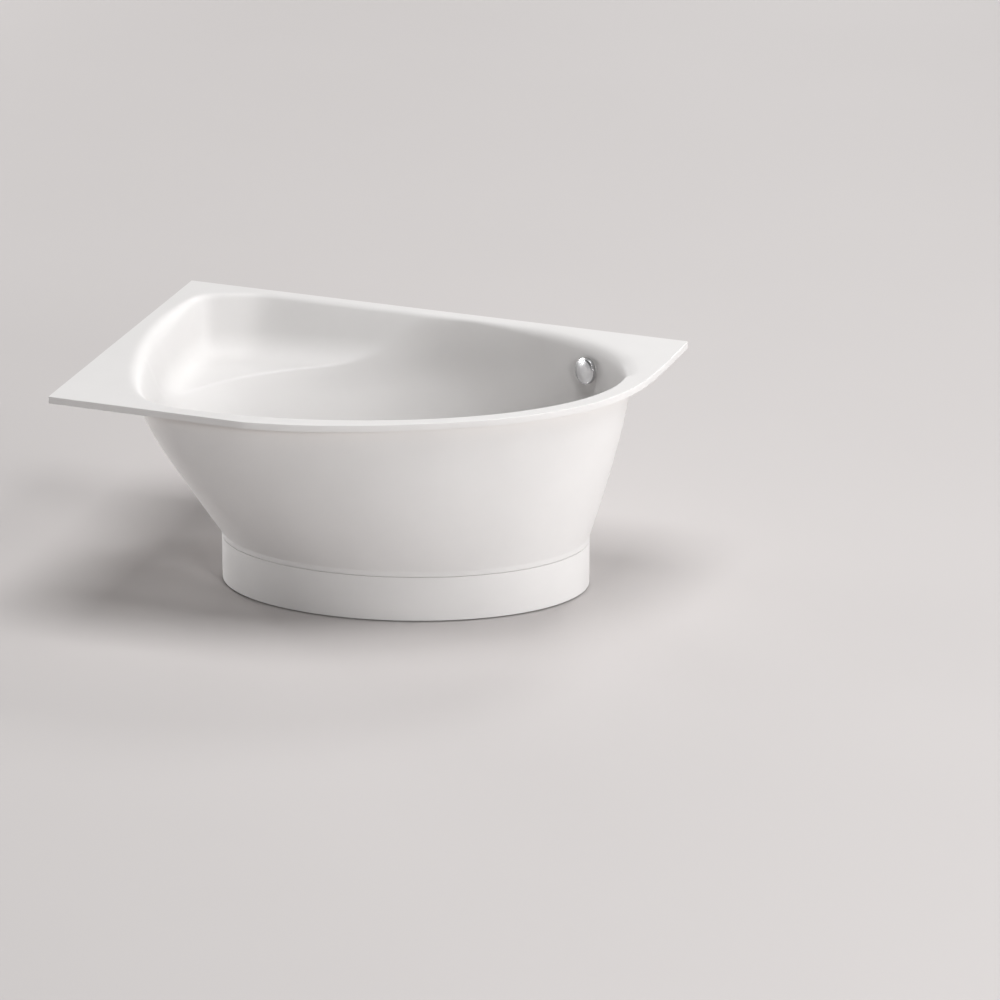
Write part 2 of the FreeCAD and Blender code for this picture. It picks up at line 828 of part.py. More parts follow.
def in_gap(height):
    """Point midway between the basin and the outer body, under the overflow."""
    outer = body_radius(hose_phi, height, -sheet_wall)
    inner = bowl_radius(hose_phi, rim_top - height, sheet_wall)
    fall = height + sheet_wall - floor_top
    if fall < amount("floor_round"):
        rise = 1 - fall / amount("floor_round")
        inner -= amount("floor_round") * (1 - math.sqrt(1 - rise * rise))
    return plinth_centre + hose_out * ((outer + inner) / 2) + Vector(0, 0, height)


hose_foot = plinth_centre + hose_out * plinth_radius(hose_phi, -amount("hose_inset"))
toward = (hose_foot - waste_spot).normalize()
tee_reach = amount("waste_nut_radius + tee_past_nut")
nozzle_aim = (in_gap(amount("hose_high")) - cup_middle).normalize()
nozzle_end = cup_middle + nozzle_aim * amount("cup_radius + nozzle_length")
tee_end = waste_spot + toward * tee_reach + Vector(0, 0, lever_z)
hose_corners = [
    in_gap(amount("hose_high")),
    in_gap(amount("hose_mid")),
    hose_foot + Vector(0, 0, amount("hose_low")),
    hose_foot + Vector(0, 0, lever_z),
]
hose_bends = [200.0, 90.0, 45.0, amount("hose_bend")]


def bent_path(start, corners, bends, end):
    """Straight runs joined by tangent arcs of the given radii."""
    points = [start] + corners + [end]
    edges = []
    last = start
    for before, here, after, radius in zip(points, points[1:], points[2:], bends):
        back = (before - here).normalize()
        ahead = (after - here).normalize()
        half = back.getAngle(ahead) / 2
        run = radius / math.tan(half)
        middle = here + (back + ahead).normalize() * (radius / math.sin(half) - radius)
        edges.append(Part.LineSegment(last, here + back * run).toShape())
        edges.append(Part.Arc(here + back * run, middle, here + ahead * run).toShape())
        last = here + ahead * run
    edges.append(Part.LineSegment(last, end).toShape())
    return Part.Wire(edges)


def tube(path, outer, inner):
    """Pipe along a path that starts straight."""
    first = path.Edges[0]
    aim = first.tangentAt(first.FirstParameter)
    start = first.valueAt(first.FirstParameter)
    outside = path.makePipeShell([Part.Wire([Part.makeCircle(outer, start, aim)])], True, False)
    if inner <= 0.0:
        return outside
    return outside.cut(
        path.makePipeShell([Part.Wire([Part.makeCircle(inner, start, aim)])], True, False))


hose_bore = amount("hose_radius - hose_wall")
hose_path = bent_path(nozzle_end, hose_corners, hose_bends, tee_end)
free_form("overflow_hose", tube(hose_path, amount("hose_radius"), hose_bore))

cable_shift = hose_side * amount("hose_radius + cable_radius + cable_gap")
cable_start = cup_middle + nozzle_aim * amount("cup_radius - 3") + cable_shift
lever_dir = Vector(toward.y, -toward.x, 0)
sideways = Vector(-lever_dir.y, lever_dir.x, 0)


def along_lever(far, aside, height):
    """Point by the waste: far along the lever, aside along its pin, and above its pin."""
    return waste_spot + Vector(0, 0, lever_z + height) + lever_dir * far + sideways * aside


cable_end = along_lever(amount("lever_reach + cable_past"),
                        amount("house_width") / 2 + amount("fit_gap"), 0.0)
cable_path = bent_path(cable_start, [corner + cable_shift for corner in hose_corners],
                       hose_bends, cable_end)
free_form("control_cable", tube(cable_path, amount("cable_radius"), 0.0))
print("hose", round(hose_path.Length, 1), "cable", round(cable_path.Length, 1),
      "bend radii", hose_bends)

slot_turn = FreeCAD.Rotation(Vector(0, 0, 1), math.degrees(hose_phi))
slot_half = amount("hose_radius + hose_clearance")
cable_room = amount("cable_radius + cable_radius + cable_gap")
hose_slot = Part.makeBox(2 * slot_half + amount("slot_past"), 2 * slot_half + cable_room, 60.0)
hose_slot.Placement = FreeCAD.Placement(
    hose_foot - hose_out * slot_half + hose_side * (slot_half + cable_room)
    + Vector(0, 0, board_under - 10.0), slot_turn)
free_form("base_board", board.cut([waste_clear, hose_slot] + pilots + rod_pockets))

# ---------------------------------------------------------------- steel frame

rail_turn = FreeCAD.Rotation(Vector(0, 0, 1), amount("axis_turn"))
rail_under = "floor_height - sheet - board_thick - rail_sheet"
rail_foot = "floor_height - sheet - board_thick - rail_drop"


def rail(node, aside, outward):
    """Steel angle under the board: a flat leg with holes and a leg that hangs down."""
    flat_start = aside - amount("rail_leg") / 2
    low = on_axis(-amount("rail_length") / 2, flat_start) + Vector(0, 0, board_under - amount("rail_sheet"))
    flat = box("rail_length", "rail_leg", "rail_sheet", FreeCAD.Placement(low, rail_turn))
    hang_start = flat_start if outward < 0 else flat_start + amount("rail_leg - rail_sheet")
    base = on_axis(-amount("rail_length") / 2, hang_start) + Vector(0, 0, board_under - amount("rail_drop"))
    hang = box("rail_length", "rail_sheet", "rail_drop", FreeCAD.Placement(base, rail_turn))
    holes = []
    for point in foot_spots[:4]:
        if abs((point - plinth_centre).dot(across) - aside) < 1.0:
            holes.append(cylinder("foot_rod_radius + rod_play", "rail_drop", (point.x, point.y), rail_foot))
    for point in screw_spots:
        if abs((point - plinth_centre).dot(across) - aside) < amount("rail_leg") / 2:
            holes.append(cylinder("screw_radius + run_gap", "rail_drop", (point.x, point.y), rail_foot))
    return keep(node, cut(fuse([flat, hang]), fuse(holes)))


rail("front_rail", -amount("rail_spread"), 1)
rail("back_rail", amount("rail_spread"), -1)

cross_half = amount("rail_spread - rail_leg") + amount("rail_leg") / 2 - amount("fit_gap")
cross_low = (on_axis(-amount("rail_leg") / 2, -cross_half)
             + Vector(0, 0, board_under - amount("rail_sheet")))
cross = box("rail_leg", str(2 * cross_half), "rail_sheet", FreeCAD.Placement(cross_low, rail_turn))
wing = box("rail_sheet", str(2 * cross_half), "rail_drop", FreeCAD.Placement(
    on_axis(-amount("rail_leg") / 2, -cross_half) + Vector(0, 0, board_under - amount("rail_drop")),
    rail_turn))
middle_spot = foot_spots[4]
cross_hole = cylinder("foot_rod_radius + rod_play", "rail_drop", (middle_spot.x, middle_spot.y),
                      rail_foot)
keep("cross_rail", cut(fuse([cross, wing]), cross_hole))

screws = []
for point in screw_spots:
    screws.append(fuse([
        cylinder("screw_radius", "screw_length + rail_sheet", (point.x, point.y), rail_under),
        cylinder("screw_head_radius", "screw_head_height", (point.x, point.y),
                 rail_under + " - screw_head_height"),
    ]))
keep("rail_screws", fuse(screws))

weld_z = rail_under + " - weld_nut_height"
lock_z = weld_z + " - lock_nut_height - fit_gap"
for number, point in enumerate(foot_spots, start=1):
    spot_xy = (point.x, point.y)
    weld_nut = cut(hexagon("nut_across", "weld_nut_height", spot_xy, weld_z),
                   cylinder("foot_rod_radius + run_gap", "weld_nut_height", spot_xy, weld_z))
    keep(f"weld_nut_{number}", weld_nut)
    rod = cylinder("foot_rod_radius", "foot_rod_top - foot_rod_bottom", spot_xy, "foot_rod_bottom")
    keep(f"foot_rod_{number}", rod)
    lock_nut = cut(hexagon("nut_across", "lock_nut_height", spot_xy, lock_z),
                   cylinder("foot_rod_radius + run_gap", "lock_nut_height", spot_xy, lock_z))
    keep(f"foot_lock_nut_{number}", lock_nut)
    turned(f"foot_pad_{number}", [
        ("0", "0"), ("foot_pad_radius", "0"), ("foot_pad_radius", "foot_pad_edge"),
        ("foot_rod_radius + foot_pad_neck", "foot_pad_height"), ("foot_rod_radius", "foot_pad_height"),
        ("foot_rod_radius", "foot_rod_bottom"), ("0", "foot_rod_bottom"),
    ], upright(point.x, point.y, 0))

# ---------------------------------------------------------------- plinth clips

clips = []
for degrees in (30.0, 150.0, 210.0, 270.0, 330.0):
    lean = math.radians(degrees)
    long_half, short_half = amount("plinth_long - plinth_wall"), amount("plinth_short - plinth_wall")
    point = on_axis(long_half * math.cos(lean), short_half * math.sin(lean))
    normal = along * (math.cos(lean) / long_half) + across * (math.sin(lean) / short_half)
    normal = normal.normalize()
    square = FreeCAD.Rotation(Vector(0, 0, 1), math.degrees(math.atan2(normal.y, normal.x)))
    outer = point - normal * amount("clip_gap")
    side = Vector(-normal.y, normal.x, 0) * (amount("clip_width") / 2)
    hang = box("clip_sheet", "clip_width", "clip_drop", FreeCAD.Placement(
        outer - normal * amount("clip_sheet") - side
        + Vector(0, 0, board_under - amount("clip_drop")), square))
    foot = box("clip_foot", "clip_width", "clip_sheet", FreeCAD.Placement(
        outer - normal * amount("clip_foot") - side
        + Vector(0, 0, board_under - amount("clip_sheet")), square))
    clips.append(fuse([hang, foot]))
keep("plinth_clips", fuse(clips))

# ---------------------------------------------------------------- waste set

wx, wy = waste_spot.x, waste_spot.y
turned("waste_gasket", [
    ("waste_tube + fit_gap", "0"), ("waste_flange_radius - gasket_inset", "0"),
    ("waste_flange_radius - gasket_inset", "gasket"), ("waste_tube + fit_gap", "gasket"),
], upright(wx, wy, floor_top))

flange_base = floor_top + amount("gasket")
turned("waste_flange", [
    ("waste_bore", "0"), ("waste_tube", "0"), ("waste_tube", "waste_tube_length"),
    ("waste_flange_radius", "waste_tube_length"),
    ("waste_flange_radius", "waste_tube_length + flange_edge"),
    ("waste_flange_radius - flange_slope", "waste_tube_length + waste_flange_height"),
    ("waste_bore + flange_dish", "waste_tube_length + waste_flange_height"),
    ("waste_bore", "waste_tube_length - flange_dip"),
], upright(wx, wy, flange_base - amount("waste_tube_length")))

turned("lower_gasket", [
    ("waste_tube + fit_gap", "0"), ("waste_nut_radius - 1", "0"),
    ("waste_nut_radius - 1", "lower_gasket"), ("waste_tube + fit_gap", "lower_gasket"),
], upright(wx, wy, board_top - amount("lower_gasket")))

body_top_z = board_top - amount("lower_gasket")
lid_z = amount("trap_top")
chamber = amount("waste_tube + fit_gap")
tower = Part.makeCylinder(chamber + amount("waste_body_wall"), body_top_z - lid_z, Vector(wx, wy, lid_z))
collar = Part.makeCylinder(amount("waste_nut_radius"), amount("waste_nut_height"),
                           Vector(wx, wy, body_top_z - amount("waste_nut_height")))
lid = Part.makeCylinder(amount("trap_radius"), amount("trap_lid"), Vector(wx, wy, lid_z))
bore = Part.makeCylinder(chamber, body_top_z - lid_z - amount("trap_lid"),
                         Vector(wx, wy, lid_z + amount("trap_lid")))
dip_radius = amount("waste_bore")
dip = Part.makeCylinder(dip_radius, lid_z - amount("dip_bottom"), Vector(wx, wy, amount("dip_bottom")))
drain_bore = Part.makeCylinder(dip_radius - amount("dip_wall"), body_top_z - amount("dip_bottom"),
                               Vector(wx, wy, amount("dip_bottom") - PAST))
grip = amount("nozzle_grip")
nozzle_radius = hose_bore - amount("fit_gap")
tee_start = Vector(wx, wy, lever_z)
tee = Part.makeCylinder(amount("hose_radius"), tee_reach - chamber - 1.0 - amount("fit_gap"),
                        tee_start + toward * (chamber + 1.0), toward)
tee = tee.fuse(Part.makeCylinder(nozzle_radius, tee_reach - chamber + grip - 1.0,
                                 tee_start + toward * (chamber + 1.0), toward))
nozzle_bore = nozzle_radius - amount("nozzle_wall")
tee_bore = Part.makeCylinder(nozzle_bore, tee_reach + grip + PAST, tee_start, toward)
lever_far = amount("lever_reach")
house_turn = FreeCAD.Rotation(Vector(0, 0, 1), math.degrees(math.atan2(lever_dir.y, lever_dir.x)))
house_half = amount("house_width") / 2
house_rise = amount("house_height") / 2
house = Part.makeBox(amount("house_length"), 2 * house_half, 2 * house_rise)
house.Placement = FreeCAD.Placement(along_lever(chamber - 0.5, -house_half, -house_rise), house_turn)
room_half = house_half - amount("house_side")
room_rise = house_rise - amount("house_lid")
house_room = Part.makeBox(amount("house_length - house_lid"), 2 * room_half, 2 * room_rise)
house_room.Placement = FreeCAD.Placement(along_lever(chamber - 1.5, -room_half, -room_rise), house_turn)
pin_bore = Part.makeCylinder(amount("lever_pin_radius"), 2 * house_half + 0.2,
                             along_lever(lever_far, -house_half - 0.1, 0.0), sideways)
waste_body = tower.fuse([collar, lid, dip, tee, house]).cut([bore, drain_bore, tee_bore, house_room])
free_form("waste_body", waste_body.cut(pin_bore))
pin = Part.makeCylinder(amount("lever_pin_radius"), 2 * house_half,
                        along_lever(lever_far, -house_half, 0.0), sideways)
free_form("lever_pin", pin)

lever_half = amount("lever_width") / 2
arm = Part.makeBox(lever_far + amount("lever_tail"), 2 * lever_half, amount("lever_thick"))
arm.Placement = FreeCAD.Placement(along_lever(0.0, -lever_half, -amount("lever_thick") / 2), house_turn)
eye = Part.makeCylinder(amount("lever_eye"), 2 * lever_half,
                        along_lever(lever_far, -lever_half, 0.0), sideways)
eye_bore = Part.makeCylinder(amount("lever_pin_radius + run_gap"), 2 * lever_half + 2 * PAST,
                             along_lever(lever_far, -lever_half - PAST, 0.0), sideways)
free_form("lift_lever", arm.fuse(eye).cut(eye_bore))

plug_under = flange_base + amount("waste_flange_height + fit_gap")
stem_bottom = lever_z + amount("lever_thick") / 2 + amount("fit_gap")
guide_z = flange_base - amount("waste_tube_length") + amount("guide_drop")
guide_radius = amount("waste_bore - fit_gap")
hub = Part.makeCylinder(amount("guide_hub"), amount("guide_height"), Vector(wx, wy, guide_z))
spokes = []
for k in range(3):
    arm_turn = FreeCAD.Rotation(Vector(0, 0, 1), 120.0 * k + 30.0)
    spoke = Part.makeBox(guide_radius, amount("spoke"), amount("guide_height"))
    spoke.Placement = FreeCAD.Placement(
        Vector(wx, wy, guide_z) + arm_turn.multVec(Vector(0, -amount("spoke") / 2, 0)), arm_turn)
    spokes.append(spoke)
guide_bore = Part.makeCylinder(amount("stem_radius + run_gap"), 20.0, Vector(wx, wy, guide_z - 5.0))
guide_ring = Part.makeCylinder(guide_radius, amount("guide_height"), Vector(wx, wy, guide_z))
guide_ring = guide_ring.cut(
    Part.makeCylinder(guide_radius - amount("guide_wall"), 20.0, Vector(wx, wy, guide_z - 5.0)))
free_form("stem_guide", hub.fuse(spokes + [guide_ring]).cut(guide_bore))

turned("waste_plug", [
    ("0", "0"), ("plug_radius", "0"), ("plug_radius", "plug_edge - 2"),
    ("plug_radius - 2", "plug_edge"), ("plug_radius - 14", "plug_edge + plug_crown - 1"),
    ("0", "plug_edge + plug_crown"),
], upright(wx, wy, plug_under))
turned("plug_stem", [
    ("0", "0"), ("stem_radius", "0"), ("stem_radius", str(plug_under - stem_bottom)),
    ("0", str(plug_under - stem_bottom)),
], upright(wx, wy, stem_bottom))
turned("plug_seal", [
    ("stem_radius", "0"), ("seal_radius", "2"), ("seal_radius + seal_lip", "seal_height"),
    ("stem_radius", "seal_height"),
], upright(wx, wy, plug_under - amount("seal_height")))

cup_wall = amount("trap_wall")
trap = Part.makeCylinder(amount("trap_radius"), lid_z - amount("trap_bottom"),
                         Vector(wx, wy, amount("trap_bottom")))
trap = trap.fuse(Part.makeCylinder(
    amount("outlet_radius"), amount("trap_radius + trap_stub"),
    Vector(wx, wy, amount("outlet_height")), to_back))
trap_room = Part.makeCylinder(amount("trap_radius") - cup_wall, lid_z - amount("trap_bottom"),
                              Vector(wx, wy, amount("trap_bottom") + cup_wall))
trap_bore = Part.makeCylinder(amount("outlet_radius - outlet_wall"),
                              amount("trap_radius + trap_stub") + PAST,
                              Vector(wx, wy, amount("outlet_height")), to_back)
free_form("trap_cup", trap.cut([trap_room, trap_bore]))

pipe_start = wy + amount("trap_radius + trap_stub")
plinth_back = plinth_centre.y + math.sqrt(
    (amount("plinth_long") * math.sin(turn)) ** 2 + (amount("plinth_short") * math.cos(turn)) ** 2)
pipe_end = plinth_back + amount("outlet_past_plinth")
pipe = Part.makeCylinder(amount("outlet_radius - outlet_step"), pipe_end - pipe_start,
                         Vector(wx, pipe_start, amount("outlet_height")), to_back)
pipe = pipe.fuse(Part.makeCylinder(
    amount("outlet_radius"), amount("outlet_spigot"),
    Vector(wx, pipe_end - amount("outlet_spigot"), amount("outlet_height")), to_back))
pipe_bore = Part.makeCylinder(amount("outlet_radius - outlet_wall"), pipe_end - pipe_start,
                              Vector(wx, pipe_start, amount("outlet_height")), to_back)
free_form("outlet_pipe", pipe.cut(pipe_bore))
turned("outlet_nut", [
    ("outlet_radius + fit_gap", "0"), ("outlet_nut_radius", "0"),
    ("outlet_nut_radius", "outlet_nut_length"), ("outlet_radius + fit_gap", "outlet_nut_length"),
], FreeCAD.Placement(
    Vector(wx, pipe_start - amount("outlet_nut_length") / 2, amount("outlet_height")),
    FreeCAD.Rotation(Vector(1, 0, 0), -90.0)))

# ---------------------------------------------------------------- overflow set

ring_base = on_overflow(amount("ring_seat"))
collar_ring = Part.makeCylinder(amount("ring_radius"), amount("ring_height"))
sleeve_low = -amount("sheet + cup_seal + sleeve_length")
collar_ring = collar_ring.cut(Part.makeCylinder(amount("sleeve_radius - sleeve_wall"), 20.0,
                                                Vector(0, 0, -5.0)))
sleeve = Part.makeCylinder(amount("sleeve_radius"), amount("ring_seat") - sleeve_low + 1.0,
                           Vector(0, 0, sleeve_low - amount("ring_seat")))
sleeve = sleeve.cut(Part.makeCylinder(amount("sleeve_radius - sleeve_wall"), 80.0,
                                      Vector(0, 0, sleeve_low - 10.0)))
hub = Part.makeCylinder(amount("hub_radius"), amount("ring_height + hub_length"),
                        Vector(0, 0, -amount("hub_length")))
arms = []
for k in range(3):
    arm_turn = FreeCAD.Rotation(Vector(0, 0, 1), 120.0 * k)
    arm = Part.makeBox(amount("sleeve_radius") - 1.0, amount("spoke"), amount("arm_height"))
    arm.Placement = FreeCAD.Placement(
        arm_turn.multVec(Vector(0, -amount("spoke") / 2, -amount("arm_height"))), arm_turn)
    arms.append(arm)
ring_body = collar_ring.fuse([sleeve, hub] + arms)
ring_body = ring_body.cut(Part.makeCylinder(amount("spindle_radius + run_gap"), 80.0, Vector(0, 0, -40.0)))
ring_body.Placement = ring_base
free_form("overflow_ring", ring_body)

turned("overflow_seal", [
    ("sleeve_radius + fit_gap", "0"), ("cup_radius - 1", "0"), ("cup_radius - 1", "cup_seal - fit_gap"),
    ("sleeve_radius + fit_gap", "cup_seal - fit_gap"),
], on_overflow(-amount("sheet + cup_seal")))

cup_low = -amount("sheet + cup_seal + cup_depth")
cup = Part.makeCylinder(amount("cup_radius"), amount("cup_depth"), Vector(0, 0, cup_low))
cup_room = Part.makeCylinder(amount("cup_radius - cup_wall"), amount("cup_depth - cup_neck - cup_wall"),
                             Vector(0, 0, cup_low + amount("cup_wall")))
neck_room = Part.makeCylinder(amount("sleeve_radius + fit_gap"), 60.0,
                              Vector(0, 0, -amount("sheet + cup_seal + cup_neck")))
for solid in (cup, cup_room, neck_room):
    solid.Placement = overflow_frame
spout_length = amount("cup_radius + nozzle_length")
spout = Part.makeCylinder(amount("hose_radius"), spout_length - amount("fit_gap"), cup_middle,
                          nozzle_aim)
nozzle = Part.makeCylinder(nozzle_radius, spout_length + grip, cup_middle, nozzle_aim)
spout_bore = Part.makeCylinder(nozzle_bore, spout_length + grip + PAST, cup_middle, nozzle_aim)
cup_solid = cup.fuse([spout, nozzle]).cut([cup_room, neck_room])
free_form("overflow_cup", cup_solid.cut(spout_bore))

knob_base = amount("knob_gap")
spindle_low = -amount("spindle_tail")
spindle = doc.addObject("Part::Cylinder", "knob_spindle")
bind(spindle, "Radius", "spindle_radius")
bind(spindle, "Height", "spindle_tail + knob_gap + knob_thick - knob_wall")
spindle.Placement = on_overflow(spindle_low)
keep("knob_spindle", spindle)
turned("overflow_knob", [
    ("spindle_radius", "0"), ("hub_radius", "0"), ("hub_radius", "knob_thick - knob_wall"),
    ("knob_radius - knob_wall", "knob_thick - knob_wall"), ("knob_radius - knob_wall", "0"),
    ("knob_radius - 1", "0"), ("knob_radius", "1"), ("knob_radius", "knob_thick - 4"),
    ("knob_radius - 1.2", "knob_thick - 1.5"), ("knob_radius - 4", "knob_thick"),
    ("0", "knob_thick"), ("0", "knob_thick - knob_wall"), ("spindle_radius", "knob_thick - knob_wall"),
], on_overflow(knob_base))
turned("cable_drum", [
    ("spindle_radius", "0"), ("drum_radius", "0"), ("drum_radius", "1"),
    ("drum_radius - 2", "2"), ("drum_radius - 2", "drum_height - 2"),
    ("drum_radius", "drum_height - 1"), ("drum_radius", "drum_height"),
    ("spindle_radius", "drum_height"),
], on_overflow(spindle_low + 1.0))

# ---------------------------------------------------------------- check and write

doc.recompute()
for item in doc.Objects:
    if "Invalid" in item.State or "Error" in item.State:
        raise RuntimeError(f"{item.Label} failed: {item.State}")
for node, item in parts.items():
    if item.Shape.isNull() or not item.Shape.isValid():
        raise RuntimeError(f"{node} has no valid shape")

os.makedirs("parts", exist_ok=True)
for node, item in parts.items():
    item.Shape.exportStep(f"parts/{node}.step")
    print(node, len(item.Shape.Solids), round(item.Shape.Volume / 1000.0, 1))
whole = Part.makeCompound([item.Shape for item in parts.values()]).BoundBox
print("box", [round(v, 2) for v in (whole.XMin, whole.XMax, whole.YMin, whole.YMax,
                                    whole.ZMin, whole.ZMax)])
print("overflow", [round(v, 2) for v in spot], "inward", [round(v, 4) for v in inward])
print("waste", [round(v, 2) for v in waste_spot], "lever axis", [round(v, 4) for v in sideways])
print("lever pin", [round(v, 2) for v in along_lever(lever_far, 0.0, 0.0)],
      "pipe end", round(pipe_end, 2))
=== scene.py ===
"""Corner bathtub: the dressed model, its light and its camera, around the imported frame."""
import json
import logging
import math
from dataclasses import dataclass, field
from enum import Enum
from typing import Sequence

import bpy
import numpy as np
from mathutils import Matrix, Vector

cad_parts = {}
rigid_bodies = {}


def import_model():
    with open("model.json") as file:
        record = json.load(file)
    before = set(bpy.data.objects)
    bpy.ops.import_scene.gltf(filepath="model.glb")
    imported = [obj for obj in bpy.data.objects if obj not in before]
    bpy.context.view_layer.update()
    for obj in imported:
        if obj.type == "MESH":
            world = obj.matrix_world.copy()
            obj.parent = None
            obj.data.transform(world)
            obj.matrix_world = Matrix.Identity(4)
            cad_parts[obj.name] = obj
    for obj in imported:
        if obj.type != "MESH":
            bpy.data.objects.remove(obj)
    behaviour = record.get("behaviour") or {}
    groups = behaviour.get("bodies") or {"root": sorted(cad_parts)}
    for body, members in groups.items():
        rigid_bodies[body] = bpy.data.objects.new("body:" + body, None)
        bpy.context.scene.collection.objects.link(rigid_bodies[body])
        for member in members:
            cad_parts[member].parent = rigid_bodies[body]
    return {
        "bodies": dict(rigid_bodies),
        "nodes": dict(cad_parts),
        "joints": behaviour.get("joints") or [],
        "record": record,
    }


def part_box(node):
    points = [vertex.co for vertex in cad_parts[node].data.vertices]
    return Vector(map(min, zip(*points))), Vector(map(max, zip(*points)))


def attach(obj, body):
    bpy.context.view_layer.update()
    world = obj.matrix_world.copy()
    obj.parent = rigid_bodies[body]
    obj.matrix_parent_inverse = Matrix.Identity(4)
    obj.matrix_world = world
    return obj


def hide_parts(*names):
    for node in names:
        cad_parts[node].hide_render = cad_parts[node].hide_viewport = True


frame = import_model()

logging.basicConfig(level=logging.INFO, format="%(name)s: %(message)s")
log = logging.getLogger("bathtub")

Array = np.ndarray
Outline = tuple[tuple[float, float, float], ...]
MM = 0.001
FAR = 1e5  # a distance past every outline, in millimetres
FLAT = 0.02  # a direction whose sine is smaller runs along that side
FAN_HEIGHT = 900.0  # height in millimetres of the point that the rays fan out from
PLAN_HALVINGS = 30
RAY_HALVINGS = 26


# ------------------------------------------------------------------ small helpers

def linear(hex_colour: str) -> tuple[float, float, float, float]:
    """Turn an sRGB hex colour into linear values.

    Args:
        hex_colour: six hex digits after a hash sign.

    Returns:
        Red, green, blue and an alpha of one.
    """
    values = [int(hex_colour[i:i + 2], 16) / 255 for i in (1, 3, 5)]
    return tuple(v / 12.92 if v <= 0.04045 else ((v + 0.055) / 1.055) ** 2.4
                 for v in values) + (1.0,)


def smooth_min(one: Array, two: Array, blend: Array | float) -> Array:
    """Lower of two values, rounded where they come within blend of each other."""
    reach = np.maximum(blend - np.abs(one - two), 0.0) / blend
    return np.minimum(one, two) - reach * reach * blend / 4


def smooth_max(one: Array, two: Array, blend: Array | float) -> Array:
    """Higher of two values, rounded where they come within blend of each other."""
    return -smooth_min(-one, -two, blend)


def ramp(value: Array, low: float, high: float) -> Array:
    """Soft step from 0 at low to 1 at high."""
    share = np.clip((value - low) / (high - low), 0.0, 1.0)
    return share * share * (3 - 2 * share)


def bump(degrees: Array, middle: float, spread: float) -> Array:
    """1 at the middle direction, falling to 0 at the spread on both sides."""
    off = np.abs((degrees - middle + 180.0) % 360.0 - 180.0)
    return 1 - ramp(off / spread, 0.0, 1.0)


def band(degrees: Array, turn: Sequence[float]) -> Array:
    """Soft step up between a turn's first two directions and down between its last two."""
    return ramp(degrees, turn[0], turn[1]) * (1 - ramp(degrees, turn[2], turn[3]))


def spline_through(points: Array, samples: int) -> Array:
    """Natural cubic spline through points.

    Args:
        points: one row of x and y for each point.
        samples: how many points to return.

    Returns:
        Evenly spaced samples along the spline's parameter.
    """
    steps = np.hypot(*np.diff(points, axis=0).T)
    knots = np.concatenate([[0.0], np.cumsum(steps)])
    count = len(points)
    system = np.zeros((count, count))
    right = np.zeros((count, 2))
    system[0, 0] = system[-1, -1] = 1.0
    for i in range(1, count - 1):
        before, after = steps[i - 1], steps[i]
        system[i, i - 1:i + 2] = before, 2 * (before + after), after
        right[i] = 6 * ((points[i + 1] - points[i]) / after - (points[i] - points[i - 1]) / before)
    bends = np.linalg.solve(system, right)
    at = np.linspace(0.0, knots[-1], samples)
    k = np.clip(np.searchsorted(knots, at, side="right") - 1, 0, count - 2)
    width = steps[k][:, None]
    low, high = (knots[k + 1] - at)[:, None], (at - knots[k])[:, None]
    return (bends[k] * low ** 3 / (6 * width) + bends[k + 1] * high ** 3 / (6 * width)
            + (points[k] / width - bends[k] * width / 6) * low
            + (points[k + 1] / width - bends[k + 1] * width / 6) * high)


# ------------------------------------------------------------------ the tub's surfaces

@dataclass(frozen=True)
class Pocket:
    """Armrest pocket in the room corner; a lean is in millimetres for each one of depth."""

    side_shift: tuple[float, float] = (1.0, 20.0)
    side_lean: tuple[float, float] = (0.16, 0.45)
    side_extra: float = 3.0
    back_lean: float = 0.36
    corner_turn: float = math.radians(112.4)
    corner_reach: float = 634.0
    corner_lean: float = 0.30
    end_turn: float = math.radians(-51.74)
    end_reach: float = 310.0
    corner_blend: float = 34.0
    back_blend: float = 14.0
    end_blend: float = 24.0
    rest_height: float = 465.0
    rest_rise: float = 0.04
    rest_start: float = -600.0
    rest_blend: float = 66.0


@dataclass(frozen=True)
class DeckRounding:
    """Rounding between deck and walls: widths, and the directions where it is wide."""

    narrow: float = 13.0
    right_extra: float = 24.0
    left_extra: float = 26.0
    right_turn: tuple[float, ...] = (13.0, 15.5, 52.0, 84.0)
    left_turn: tuple[float, ...] = (150.0, 170.0, 206.0, 222.0)


